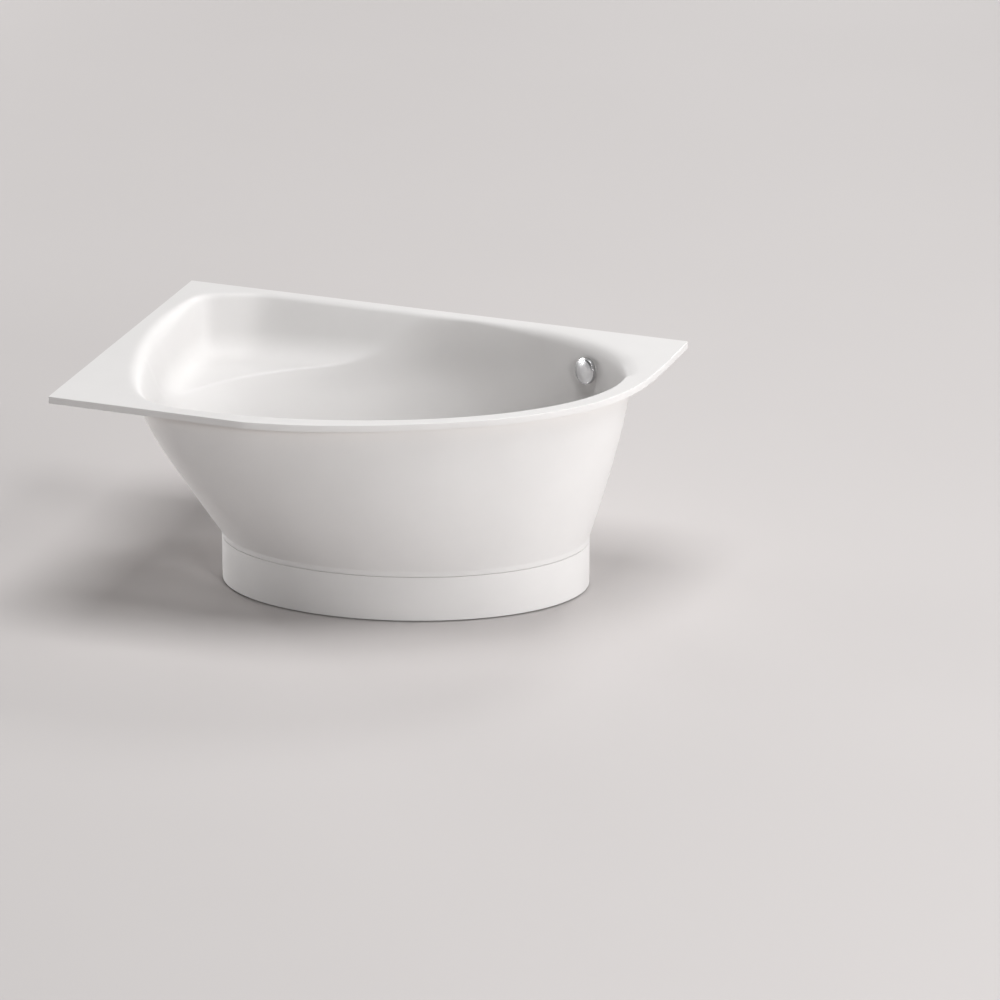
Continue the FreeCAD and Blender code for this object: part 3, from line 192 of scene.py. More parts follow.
@dataclass(frozen=True)
class TubForm:
    """Shape of the tub in millimetres and degrees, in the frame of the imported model.

    The bowl's levels give depth, shift along and across the tub, and the ellipse's half axes.
    The bow gives the rim's rounded end: distance from its right side and height over its front.
    """

    half_length: float = 750.0
    half_width: float = 500.0
    rim_top: float = 630.0
    rim_lip: float = 20.0
    corner_round: float = 5.0
    overrun: float = 60.0
    sheet: float = 5.0
    turn: float = math.radians(15.54)
    centre: tuple[float, float] = (80.0, 35.6)
    basin_depth: float = 450.0
    floor_round: float = 90.0
    edge_roll: float = 8.0
    back_line: float = 472.0
    back_lean: float = 0.06
    back_blend: float = 10.0
    side_radius: float = 1257.0
    side_centre: tuple[float, float] = (565.0, 230.0)
    side_lean: float = 0.34
    side_blend: float = 62.0
    ridge_blend: float = 7.0
    wall_blend: float = 8.0
    wall_gap: float = 3.5
    wall_slope: float = 0.93
    plinth: tuple[float, float] = (513.5, 306.0)
    collar_top: float = 148.0
    back_turn: tuple[float, ...] = (22.0, 62.0, 150.0, 190.0)
    near_side: tuple[float, float] = (300.0, 78.0)
    fullness: tuple[float, float, float] = (1.3, 2.0, 3.4)
    body_gap: tuple[float, float] = (5.0, 13.0)
    bulge: float = 36.0
    bulge_turn: tuple[float, float] = (40.0, 34.0)
    bulge_start: tuple[float, float] = (20.0, 40.0)
    spoke_step: float = 0.9
    corner_spokes: tuple[float, ...] = (-0.36, -0.24, -0.15, -0.07, 0.0, 0.07, 0.15, 0.24, 0.36)
    corner_clear: float = 0.42
    pocket: Pocket = Pocket()
    rounding: DeckRounding = DeckRounding()
    levels: tuple[tuple[float, ...], ...] = (
        (0.0, -95.0, 6.0, 789.5, 425.0),
        (155.0, 6.0, 29.0, 648.0, 408.0),
        (450.0, 66.0, 34.0, 500.0, 285.0),
    )
    bow: tuple[tuple[float, float], ...] = (
        (930.0, 0.0), (785.0, 29.0), (656.0, 71.0), (531.0, 122.0), (410.0, 184.0),
        (291.0, 255.0), (179.0, 350.0), (115.0, 421.0), (76.0, 478.0), (50.0, 533.0),
        (27.0, 600.0), (11.0, 690.0), (3.5, 814.0), (0.0, 1000.0),
    )

    @property
    def rim_under(self) -> float:
        """Height of the rim strip's lower edge."""
        return self.rim_top - self.rim_lip

    @property
    def floor(self) -> float:
        """Height of the basin's floor."""
        return self.rim_top - self.basin_depth

    def axes(self, x: Array, y: Array) -> tuple[Array, Array]:
        """Coordinates along and across the tub's long axis."""
        c, s = math.cos(self.turn), math.sin(self.turn)
        return x * c + y * s, y * c - x * s

    def through_levels(self, depth: Array, column: int) -> Array:
        """Parabola in depth through one column of the three bowl levels.

        Args:
            depth: depths below the deck.
            column: which of the levels' values is wanted.

        Returns:
            The value at each depth.
        """
        (d0, v0), (d1, v1), (d2, v2) = ((row[0], row[column]) for row in self.levels)
        slope = (v1 - v0) / (d1 - d0)
        bend = ((v2 - v1) / (d2 - d1) - slope) / (d2 - d0)
        return v0 + slope * (depth - d0) + bend * (depth - d0) * (depth - d1)

    def oval(self, x: Array, y: Array, depth: Array) -> Array:
        """Distance outside the bowl's ellipse at a depth.

        Args:
            x: positions along the rim.
            y: positions across it.
            depth: depths below the deck.

        Returns:
            About the distance, negative inside.
        """
        u, v = self.axes(x - self.through_levels(depth, 1), y - self.through_levels(depth, 2))
        a, b = self.through_levels(depth, 3), self.through_levels(depth, 4)
        near = np.hypot(u / a, v / b)
        slope = np.maximum(np.hypot(u / a ** 2, v / b ** 2), 1e-7)
        return near * (near - 1) / slope

    def bowl_wall(self, x: Array, y: Array, z: Array, inset: float) -> Array:
        """Distance outside the bowl's upright walls.

        Args:
            x: positions along the rim.
            y: positions across it.
            z: heights.
            inset: how far the walls are drawn in from the opening's edge.

        Returns:
            About the distance, negative inside.
        """
        depth = self.rim_top - z
        below = np.maximum(depth, 0.0)
        side = np.hypot(x - self.side_centre[0], y - self.side_centre[1]) - (
            self.side_radius - inset - self.side_lean * below)
        back = y - (self.back_line - inset - self.back_lean * below)
        edge = self.oval(x, y, depth) - (self.edge_roll - inset)
        return smooth_max(smooth_max(edge, side, self.side_blend), back, self.back_blend)

    def pocket_wall(self, x: Array, y: Array, z: Array, inset: float) -> Array:
        """Distance outside the armrest pocket's walls.

        Args:
            x: positions along the rim.
            y: positions across it.
            z: heights.
            inset: how far the walls are drawn in from the opening's edge.

        Returns:
            About the distance, negative inside.
        """
        pocket = self.pocket
        depth = self.rim_top - z
        cx, cy = (self.side_centre[i] + pocket.side_shift[i] + pocket.side_lean[i] * depth
                  for i in (0, 1))
        side = np.hypot(x - cx, y - cy) - (self.side_radius + pocket.side_extra - inset)
        back = y - (self.back_line - inset - pocket.back_lean * depth)
        corner = (x * math.cos(pocket.corner_turn) + y * math.sin(pocket.corner_turn)) - (
            pocket.corner_reach - inset - pocket.corner_lean * depth)
        end = (x * math.cos(pocket.end_turn) + y * math.sin(pocket.end_turn)) + pocket.end_reach
        wall = smooth_max(side, corner, pocket.corner_blend)
        wall = smooth_max(wall, back, pocket.back_blend)
        return smooth_max(wall, end, pocket.end_blend)

    def opening(self, phi: Array) -> Array:
        """Distance from the centre to the opening's edge at the deck.

        Args:
            phi: directions in radians.

        Returns:
            One distance for each direction.
        """
        low, high = np.full_like(phi, 300.0), np.full_like(phi, 1100.0)
        top = np.full_like(phi, self.rim_top)
        for _ in range(PLAN_HALVINGS):
            middle = (low + high) / 2
            x = self.centre[0] + middle * np.cos(phi)
            y = self.centre[1] + middle * np.sin(phi)
            out = np.minimum(self.bowl_wall(x, y, top, 0.0), self.pocket_wall(x, y, top, 0.0)) > 0
            low, high = np.where(out, low, middle), np.where(out, middle, high)
        return (low + high) / 2

    def plinth_radius(self, phi: Array) -> Array:
        """Distance from the centre to the plinth's outline, by direction."""
        u, v = np.cos(phi - self.turn), np.sin(phi - self.turn)
        return 1 / np.hypot(u / self.plinth[0], v / self.plinth[1])

    def body_radius(self, phi: Array, z: Array) -> Array:
        """Distance from the centre to the outer body.

        Args:
            phi: directions in radians.
            z: heights.

        Returns:
            One distance for each direction and height.
        """
        degrees = np.degrees(phi) % 360.0
        back = band(degrees, self.back_turn)
        near = bump(degrees, *self.near_side)
        far_full, near_full, back_full = self.fullness
        belly = (far_full * (1 - near) + near_full * near) * (1 - back) + back_full * back
        share = np.clip((z - self.collar_top) / (self.rim_under - self.collar_top), 0.0, 1.0)
        low = self.plinth_radius(phi)
        return low + (1 - (1 - share) ** belly) * (self.body_top(phi) - low)

    def body_top(self, phi: Array) -> Array:
        """Distance from the centre to the outer body's upper edge.

        Args:
            phi: directions in radians.

        Returns:
            One distance for each direction.
        """
        grid = np.linspace(0.0, 2 * math.pi, 721)
        degrees = np.degrees(grid) % 360.0
        back = band(degrees, self.back_turn)
        room = self.bulge * bump(degrees, *self.bulge_turn) * ramp(degrees, *self.bulge_start)
        front_gap, back_gap = self.body_gap
        top = self.opening(grid) + front_gap * (1 - back) + back_gap * back + room
        return np.interp(phi % (2 * math.pi), grid, top)

    def armrest(self, x: Array) -> Array:
        """Height of the armrest, which rises gently away from the room corner."""
        return self.pocket.rest_height + self.pocket.rest_rise * (x - self.pocket.rest_start)

    def basin(self, x: Array, y: Array, z: Array) -> Array:
        """Signed form of the open space over the tub: positive inside its walls and deck.

        Args:
            x: positions along the rim.
            y: positions across it.
            z: heights.

        Returns:
            About the distance to the nearest surface of basin or deck.
        """
        dx, dy = x - self.centre[0], y - self.centre[1]
        phi = np.arctan2(dy, dx)
        shell = 2 * self.sheet + self.wall_gap
        bowl = self.bowl_wall(x, y, z, self.edge_roll)
        body = (np.hypot(dx, dy) - self.body_radius(phi, z) + shell) * self.wall_slope
        bowl = smooth_max(bowl, body, self.wall_blend)
        rise = np.clip(1 - (z - self.floor) / self.floor_round, 0.0, 1.0)
        bowl = bowl + self.floor_round * (1 - np.sqrt(1 - rise * rise))
        bowl = np.maximum(bowl, self.floor - z)
        rest = self.armrest(x) - z
        pocket = smooth_max(self.pocket_wall(x, y, z, self.edge_roll), rest,
                            self.pocket.rest_blend)
        space = smooth_min(bowl, pocket, self.ridge_blend)
        return smooth_min(space, self.rim_top - z, self.roll(phi))

    def roll(self, phi: Array) -> Array:
        """Width of the rounding between deck and walls.

        Args:
            phi: directions in radians.

        Returns:
            One width for each direction.
        """
        degrees = np.degrees(phi) % 360.0
        form = self.rounding
        return (form.narrow + form.right_extra * band(degrees, form.right_turn)
                + form.left_extra * band(degrees, form.left_turn))

    def rim_radius(self, phi: Array) -> Array:
        """Distance from the centre to the rim's outline.

        Args:
            phi: directions in radians.

        Returns:
            One distance for each direction.
        """
        right, front = self.half_length, -self.half_width
        bow = np.array([(right - inset, front + height) for inset, height in self.bow])
        line = spline_through(bow, 900)
        along = np.linspace(-right - self.overrun, line[0, 0], 200, endpoint=False)
        run = np.stack([along, np.full(len(along), front)], axis=1)
        beyond = np.array([[right + 0.3, self.half_width + self.overrun]])
        line = np.concatenate([run, line, beyond]) - np.array(self.centre)
        angle = np.unwrap(np.arctan2(line[:, 1], line[:, 0]))
        turned_phi = (phi - angle[0]) % (2 * math.pi) + angle[0]
        near = np.interp(turned_phi, angle, np.hypot(line[:, 0], line[:, 1]), right=FAR)
        s, c = np.sin(phi), np.cos(phi)
        depth, width = self.half_width - self.centre[1], self.half_length + self.centre[0]
        back = np.where(s > FLAT, depth / np.maximum(s, FLAT), FAR)
        side = np.where(c < -FLAT, width / np.maximum(-c, FLAT), FAR)
        return smooth_min(smooth_min(near, back, self.corner_round), side, self.corner_round)

    def directions(self) -> Array:
        """Directions of the mesh's spokes, closer together at the rim's three corners.

        Returns:
            The directions in radians, in rising order.
        """
        base = np.radians(np.arange(0.0, 360.0, self.spoke_step))
        long, wide = self.half_length, self.half_width
        corners = [math.atan2(y - self.centre[1], x - self.centre[0]) % (2 * math.pi)
                   for x, y in ((long, wide), (-long, wide), (-long, -wide))]
        extra = [corner + math.radians(off) for corner in corners for off in self.corner_spokes]
        spare = np.array([min(abs(value - corner) for corner in corners) for value in base])
        return np.sort(np.concatenate([base[spare > math.radians(self.corner_clear)], extra]))


def march(form: TubForm, phi: Array, reach: Array, level: float,
          rays: int) -> tuple[Array, Array]:
    """Find the basin's surface along rays that fan out from a point over the basin.

    Args:
        form: the tub's shape.
        phi: directions of the half-planes that hold the fans.
        reach: how far each fan goes at the deck's height.
        level: value of the basin's form on the surface, 0 inside and the sheet outside.
        rays: how many rays each fan has.

    Returns:
        Distance from the centre and height, each with a row for each direction.
    """
    low_z = form.floor - level
    end = np.arctan2(reach, FAN_HEIGHT - form.rim_top + level)[:, None]
    lean = end * np.linspace(0.0, 1.0, rays)[None, :]
    sin, cos = np.sin(lean), np.cos(lean)
    cos_phi, sin_phi = np.cos(phi)[:, None], np.sin(phi)[:, None]
    low = np.zeros_like(lean)
    high = (FAN_HEIGHT - low_z) / cos
    for _ in range(RAY_HALVINGS):
        middle = (low + high) / 2
        r, z = middle * sin, FAN_HEIGHT - middle * cos
        value = form.basin(form.centre[0] + r * cos_phi, form.centre[1] + r * sin_phi, z)
        out = value > level
        low, high = np.where(out, low, middle), np.where(out, middle, high)
    return high * sin, FAN_HEIGHT - high * cos


def even_out(r: Array, z: Array, count: int, pull: float) -> tuple[Array, Array]:
    """Resample each row's line, with more points where it bends.

    Args:
        r: distances, one row for each line.
        z: heights of the same points.
        count: points wanted on each line.
        pull: millimetres of length that one radian of bend is worth.

    Returns:
        The resampled distances and heights.
    """
    dr, dz = np.diff(r, axis=1), np.diff(z, axis=1)
    length = np.hypot(dr, dz)
    angle = np.unwrap(np.arctan2(dz, dr), axis=1)
    bend = np.abs(np.diff(angle, axis=1))
    worth = length.copy()
    worth[:, 1:] += pull * bend / 2
    worth[:, :-1] += pull * bend / 2
    wrap, span = 6, 9
    kernel = np.ones(span) / span
    padded = np.concatenate([worth[-wrap:], worth, worth[:wrap]])
    mixed = np.stack([np.convolve(padded[:, k], kernel, "same") for k in range(worth.shape[1])], 1)
    sums = np.cumsum(mixed[wrap:-wrap], axis=1)
    total = np.concatenate([np.zeros((len(r), 1)), sums], axis=1)
    total /= total[:, -1:]
    share = np.linspace(0.0, 1.0, count)
    new_r = np.stack([np.interp(share, total[i], r[i]) for i in range(len(r))])
    new_z = np.stack([np.interp(share, total[i], z[i]) for i in range(len(r))])
    return new_r, new_z


# ------------------------------------------------------------------ meshes

def mesh_object(name: str, points: Array, faces: list[tuple[int, ...]]) -> bpy.types.Object:
    """Make an object with its place in its mesh.

    Args:
        name: the object's name.
        points: the corners in millimetres, one row for each.
        faces: the corners' numbers, for each face.

    Returns:
        The new object.
    """
    mesh = bpy.data.meshes.new(name)
    mesh.from_pydata((points * MM).tolist(), [], faces)
    mesh.validate()
    piece = bpy.data.objects.new(name, mesh)
    bpy.context.scene.collection.objects.link(piece)
    return piece


def spoke_mesh(name: str, centre: tuple[float, float], phi: Array,
               r: Array, z: Array, closed: bool) -> bpy.types.Object:
    """Skin a surface over spokes round a centre.

    Args:
        name: the object's name.
        centre: plan position that the spokes start from.
        phi: direction of each spoke.
        r: distances from the centre, one row for each spoke.
        z: heights of the same points.
        closed: True joins each spoke's last point to its first; False closes the surface
            with a fan at each end, where the distance is zero.

    Returns:
        The new object.
    """
    spokes, rings = r.shape
    body = r[:, 1:-1] if not closed else r
    heights = z[:, 1:-1] if not closed else z
    x = centre[0] + body * np.cos(phi)[:, None]
    y = centre[1] + body * np.sin(phi)[:, None]
    points = np.stack([x, y, heights], axis=2).reshape(-1, 3)
    per = body.shape[1]
    faces: list[tuple[int, ...]] = []
    last = per if closed else per - 1
    for i in range(spokes):
        j = (i + 1) % spokes
        for k in range(last):
            n = (k + 1) % per
            faces.append((i * per + k, i * per + n, j * per + n, j * per + k))
    if not closed:
        first, final = len(points), len(points) + 1
        ends = np.array([[*centre, z[:, 0].mean()], [*centre, z[:, -1].mean()]])
        points = np.concatenate([points, ends])
        for i in range(spokes):
            j = (i + 1) % spokes
            faces.append((first, i * per, j * per))
            faces.append((final, j * per + per - 1, i * per + per - 1))
    return mesh_object(name, points, faces)


def only(piece: bpy.types.Object) -> bpy.types.Object:
    """Make one object the selected and active one.

    Args:
        piece: the object.

    Returns:
        The same object.
    """
    bpy.ops.object.select_all(action="DESELECT")
    piece.select_set(True)
    bpy.context.view_layer.objects.active = piece
    return piece


def outwards(piece: bpy.types.Object, angle: float = 34.0) -> bpy.types.Object:
    """Turn normals outwards and shade smooth.

    Args:
        piece: the object.
        angle: edges up to this many degrees are shaded smooth.

    Returns:
        The same object.
    """
    only(piece)
    bpy.ops.object.mode_set(mode="EDIT")
    bpy.ops.mesh.select_all(action="SELECT")
    bpy.ops.mesh.normals_make_consistent(inside=False)
    bpy.ops.object.mode_set(mode="OBJECT")
    bpy.ops.object.shade_smooth_by_angle(angle=math.radians(angle))
    return piece


def subtract(piece: bpy.types.Object, cutter: bpy.types.Object) -> None:
    """Cut one object out of another, and remove it.

    Args:
        piece: the object to cut.
        cutter: the object whose space is taken away.
    """
    bpy.context.view_layer.update()
    only(piece)
    change = piece.modifiers.new("cut", "BOOLEAN")
    change.operation, change.solver, change.object = "DIFFERENCE", "EXACT", cutter
    bpy.ops.object.modifier_apply(modifier=change.name)
    bpy.data.objects.remove(cutter)


def carve(piece: bpy.types.Object, radius: float, depth: float, place: Matrix) -> None:
    """Cut a round hole through a piece.

    Args:
        piece: the object to cut.
        radius: the hole's radius in millimetres.
        depth: the cutter's length in millimetres, centred on its place.
        place: where the cutter's middle is and how it is turned, in metres.
    """
    bpy.ops.object.select_all(action="DESELECT")
    bpy.ops.mesh.primitive_cylinder_add(vertices=96, radius=radius * MM, depth=depth * MM)
    cutter = bpy.context.object
    cutter.matrix_world = place
    subtract(piece, cutter)


def turned(name: str, profile: Sequence[tuple[float, float]], place: Matrix,
           steps: int = 128) -> bpy.types.Object:
    """Spin a closed profile of radius and height, in millimetres, about its own Z.

    Args:
        name: the object's name.
        profile: points of the closed outline; a radius of zero lies on the axis.
        place: where the axis stands, in metres.
        steps: how many facets the turn has.

    Returns:
        The finished object, with its place in its mesh.
    """
    points = np.array([(r, 0.0, z) for r, z in profile])
    count = len(points)
    mesh = bpy.data.meshes.new(name)
    mesh.from_pydata((points * MM).tolist(), [(i, (i + 1) % count) for i in range(count)], [])
    piece = bpy.data.objects.new(name, mesh)
    bpy.context.scene.collection.objects.link(piece)
    only(piece)
    bpy.ops.object.mode_set(mode="EDIT")
    bpy.ops.mesh.select_all(action="SELECT")
    bpy.ops.mesh.spin(steps=steps, angle=2 * math.pi, center=(0, 0, 0), axis=(0, 0, 1))
    bpy.ops.mesh.select_all(action="SELECT")
    bpy.ops.mesh.remove_doubles(threshold=0.00002)
    bpy.ops.mesh.delete_loose()
    bpy.ops.object.mode_set(mode="OBJECT")
    piece.data.transform(place)
    return outwards(piece, 30.0)


def rounded(profile: Sequence[tuple[float, float, float]],
            steps: int = 6) -> list[tuple[float, float]]:
    """Round a closed outline's corners.

    Args:
        profile: x, y and corner radius of each point.
        steps: segments in each rounded corner.

    Returns:
        Points of the rounded outline.
    """
    result: list[tuple[float, float]] = []
    count = len(profile)
    for i, (x, y, radius) in enumerate(profile):
        here = Vector((x, y))
        if radius <= 0.0:
            result.append((x, y))
            continue
        back = (Vector(profile[i - 1][:2]) - here).normalized()
        ahead = (Vector(profile[(i + 1) % count][:2]) - here).normalized()
        half = back.angle(ahead) / 2
        run = radius / math.tan(half)
        middle = here + (back + ahead).normalized() * (radius / math.sin(half))
        start, stop = here + back * run - middle, here + ahead * run - middle
        for k in range(steps + 1):
            mixed = start.slerp(stop, k / steps) if start.angle(stop) > 1e-4 else start
            point = middle + mixed.normalized() * radius
            result.append((point.x, point.y))
    return result


# ------------------------------------------------------------------ materials

@dataclass(frozen=True)
class Finish:
    """Look of one material: colours, gloss, grain and wear.

    The grain's size is that of the tint's soft clouds, and the bump's grain that of the relief.
    The real relief of plastics, chrome and rubber is finer, and is drawn as coarse as shows.
    """

    name: str
    colour: str
    shade: str
    roughness: float
    metallic: float = 0.0
    coat: float = 0.0
    specular: float = 0.5
    grain_mm: float = 40.0
    bump_mm: float = 0.02
    bump_grain_mm: float = 2.0
    stretch: tuple[float, float, float] = (1.0, 1.0, 1.0)
    wear: str = ""
    wear_amount: float = 0.0
    spread: float = 0.05


class Finishes(Enum):
    """The finishes used on the tub and its fittings."""

    # Cast acrylic sheet, vacuum formed: an even white with a broad soft sheen and no grain.
    ACRYLIC = Finish("tub_acrylic", "#DAD8D7", "#D6D4D3", 0.48, coat=0.02, specular=0.12,
                     grain_mm=260.0, bump_mm=0.012, bump_grain_mm=9.0, wear="#C6C2BD",
                     wear_amount=0.25, spread=0.03)
    # Chromed zinc casting, satin polished: bright, with slightly blurred reflections.
    CHROME = Finish("satin_chrome", "#C9C9CA", "#BDBDBF", 0.22, metallic=1.0, grain_mm=12.0,
                    bump_mm=0.002, bump_grain_mm=0.6, wear="#E2E2E2", wear_amount=0.5)
    # Galvanised steel section: grey and cloudy, with edges rubbed brighter.
    ZINC = Finish("zinc_steel", "#A9ABAD", "#8F9296", 0.42, metallic=1.0, grain_mm=9.0,
                  bump_mm=0.02, bump_grain_mm=1.2, wear="#C8C9CA", wear_amount=0.6, spread=0.12)
    # Turned brass bar: warm yellow, with fine marks round its axis.
    BRASS = Finish("turned_brass", "#BFA063", "#A98B50", 0.3, metallic=1.0, grain_mm=6.0,
                   bump_mm=0.006, bump_grain_mm=0.5, stretch=(1.0, 1.0, 12.0))
    # Chipboard sealed with resin: dull tan, with darker streaks along the sheet.
    BOARD = Finish("sealed_board", "#C8AF8B", "#AE9270", 0.62, grain_mm=18.0, bump_mm=0.12,
                   bump_grain_mm=1.6, stretch=(0.12, 1.0, 1.0), spread=0.08)
    # Moulded polypropylene: off-white with a satin gloss, and paler at worn edges.
    PIPE = Finish("pipe_plastic", "#DCDBD8", "#D0CFCC", 0.42, grain_mm=60.0, bump_mm=0.02,
                  bump_grain_mm=0.8, wear="#F0EFED", wear_amount=0.35)
    # Extruded soft PVC: greyer and duller than the pipe, with a faint skin.
    HOSE = Finish("hose_plastic", "#C9C8C5", "#B8B7B4", 0.5, grain_mm=30.0, bump_mm=0.06,
                  bump_grain_mm=1.2)
    # Moulded nylon: nearly black and matt, greyed where it is rubbed.
    PAD = Finish("pad_plastic", "#242425", "#2E2E2F", 0.6, grain_mm=10.0, bump_mm=0.05,
                 bump_grain_mm=0.7, wear="#515151", wear_amount=0.5)
    # Extruded polyethylene cover: black with a low sheen.
    CABLE = Finish("cable_cover", "#1E1F21", "#292A2C", 0.45, grain_mm=20.0, bump_mm=0.02,
                   bump_grain_mm=0.8)
    # Moulded nitrile rubber: black and dull, with a fine grain.
    RUBBER = Finish("seal_rubber", "#1C1C1C", "#272727", 0.7, grain_mm=8.0, bump_mm=0.03,
                    bump_grain_mm=0.6)


class NodeTree:
    """Adds nodes to a material or world and links them."""

    def __init__(self, owner: bpy.types.Material | bpy.types.World) -> None:
        """Start with the owner's node tree, emptied.

        Args:
            owner: the material or world that the nodes are for.
        """
        owner.use_nodes = True
        self.tree = owner.node_tree
        self.tree.nodes.clear()

    def add(self, kind: str, settings: dict | None = None, **links: object) -> bpy.types.Node:
        """Add one node.

        Args:
            kind: the node's type name, without its common prefix.
            settings: properties of the node itself.
            **links: input names, with spaces as underscores, and a value or an output socket.

        Returns:
            The new node.
        """
        node = self.tree.nodes.new("ShaderNode" + kind)
        for key, value in (settings or {}).items():
            setattr(node, key, value)
        for key, value in links.items():
            name = key.replace("_", " ")
            socket = node.inputs[int(name[1:])] if name[1:].isdigit() else node.inputs[name]
            if isinstance(value, bpy.types.NodeSocket):
                self.tree.links.new(value, socket)
            else:
                socket.default_value = value
        return node


def build_finish(finish: Finish) -> bpy.types.Material:
    """Make the procedural material of a finish.

    Args:
        finish: the look wanted.

    Returns:
        The new material.
    """
    material = bpy.data.materials.new(finish.name)
    nodes = NodeTree(material)
    place = nodes.add("TexCoord").outputs["Object"]
    scaled = nodes.add("Mapping", Vector=place, Scale=finish.stretch).outputs["Vector"]
    cloud = nodes.add("TexNoise", Vector=scaled, Scale=1.0 / (finish.grain_mm * MM), Detail=4.0,
                      Roughness=0.55).outputs["Fac"]
    grain = nodes.add("TexNoise", Vector=scaled, Scale=1.0 / (finish.bump_grain_mm * MM),
                      Detail=3.0, Roughness=0.6).outputs["Fac"]
    tint = nodes.add("MapRange", Value=cloud, From_Min=0.3, From_Max=0.7).outputs["Result"]
    colour = nodes.add("Mix", {"data_type": "RGBA"}, i0=tint, i6=linear(finish.colour),
                       i7=linear(finish.shade)).outputs[2]
    if finish.wear:
        edge = nodes.add("NewGeometry").outputs["Pointiness"]
        worn = nodes.add("MapRange", Value=edge, From_Min=0.515, From_Max=0.60,
                         To_Min=0.0, To_Max=finish.wear_amount).outputs["Result"]
        patchy = nodes.add("Math", {"operation": "MULTIPLY"}, i0=worn, i1=grain).outputs[0]
        colour = nodes.add("Mix", {"data_type": "RGBA"}, i0=patchy, i6=colour,
                           i7=linear(finish.wear)).outputs[2]
    swing = finish.spread * 2
    rough = nodes.add("MapRange", Value=cloud, From_Min=0.25, From_Max=0.75,
                      To_Min=finish.roughness * (1 - swing),
                      To_Max=finish.roughness * (1 + swing)).outputs["Result"]
    relief = nodes.add("Bump", Height=grain, Strength=0.35,
                       Distance=finish.bump_mm * MM).outputs["Normal"]
    shader = nodes.add("BsdfPrincipled", Base_Color=colour, Roughness=rough, Normal=relief,
                       Metallic=finish.metallic, Specular_IOR_Level=finish.specular,
                       Coat_Weight=finish.coat, Coat_Roughness=0.06)
    nodes.add("OutputMaterial", Surface=shader.outputs["BSDF"])
    return material


@dataclass
class Palette:
    """Materials made once and handed out by name."""

    made: dict[Finishes, bpy.types.Material] = field(default_factory=dict)

    def get(self, finish: Finishes) -> bpy.types.Material:
        """Return the material of a finish, made at its first use.

        Args:
            finish: the finish wanted.

        Returns:
            Its material.
        """
        if finish not in self.made:
            self.made[finish] = build_finish(finish.value)
        return self.made[finish]

    def coat(self, piece: bpy.types.Object, finish: Finishes) -> bpy.types.Object:
        """Give a piece one finish all over.

        Args:
            piece: the object.
            finish: the finish wanted.

        Returns:
            The same object.
        """
        piece.data.materials.clear()
        piece.data.materials.append(self.get(finish))
        return piece


# ------------------------------------------------------------------ the tub

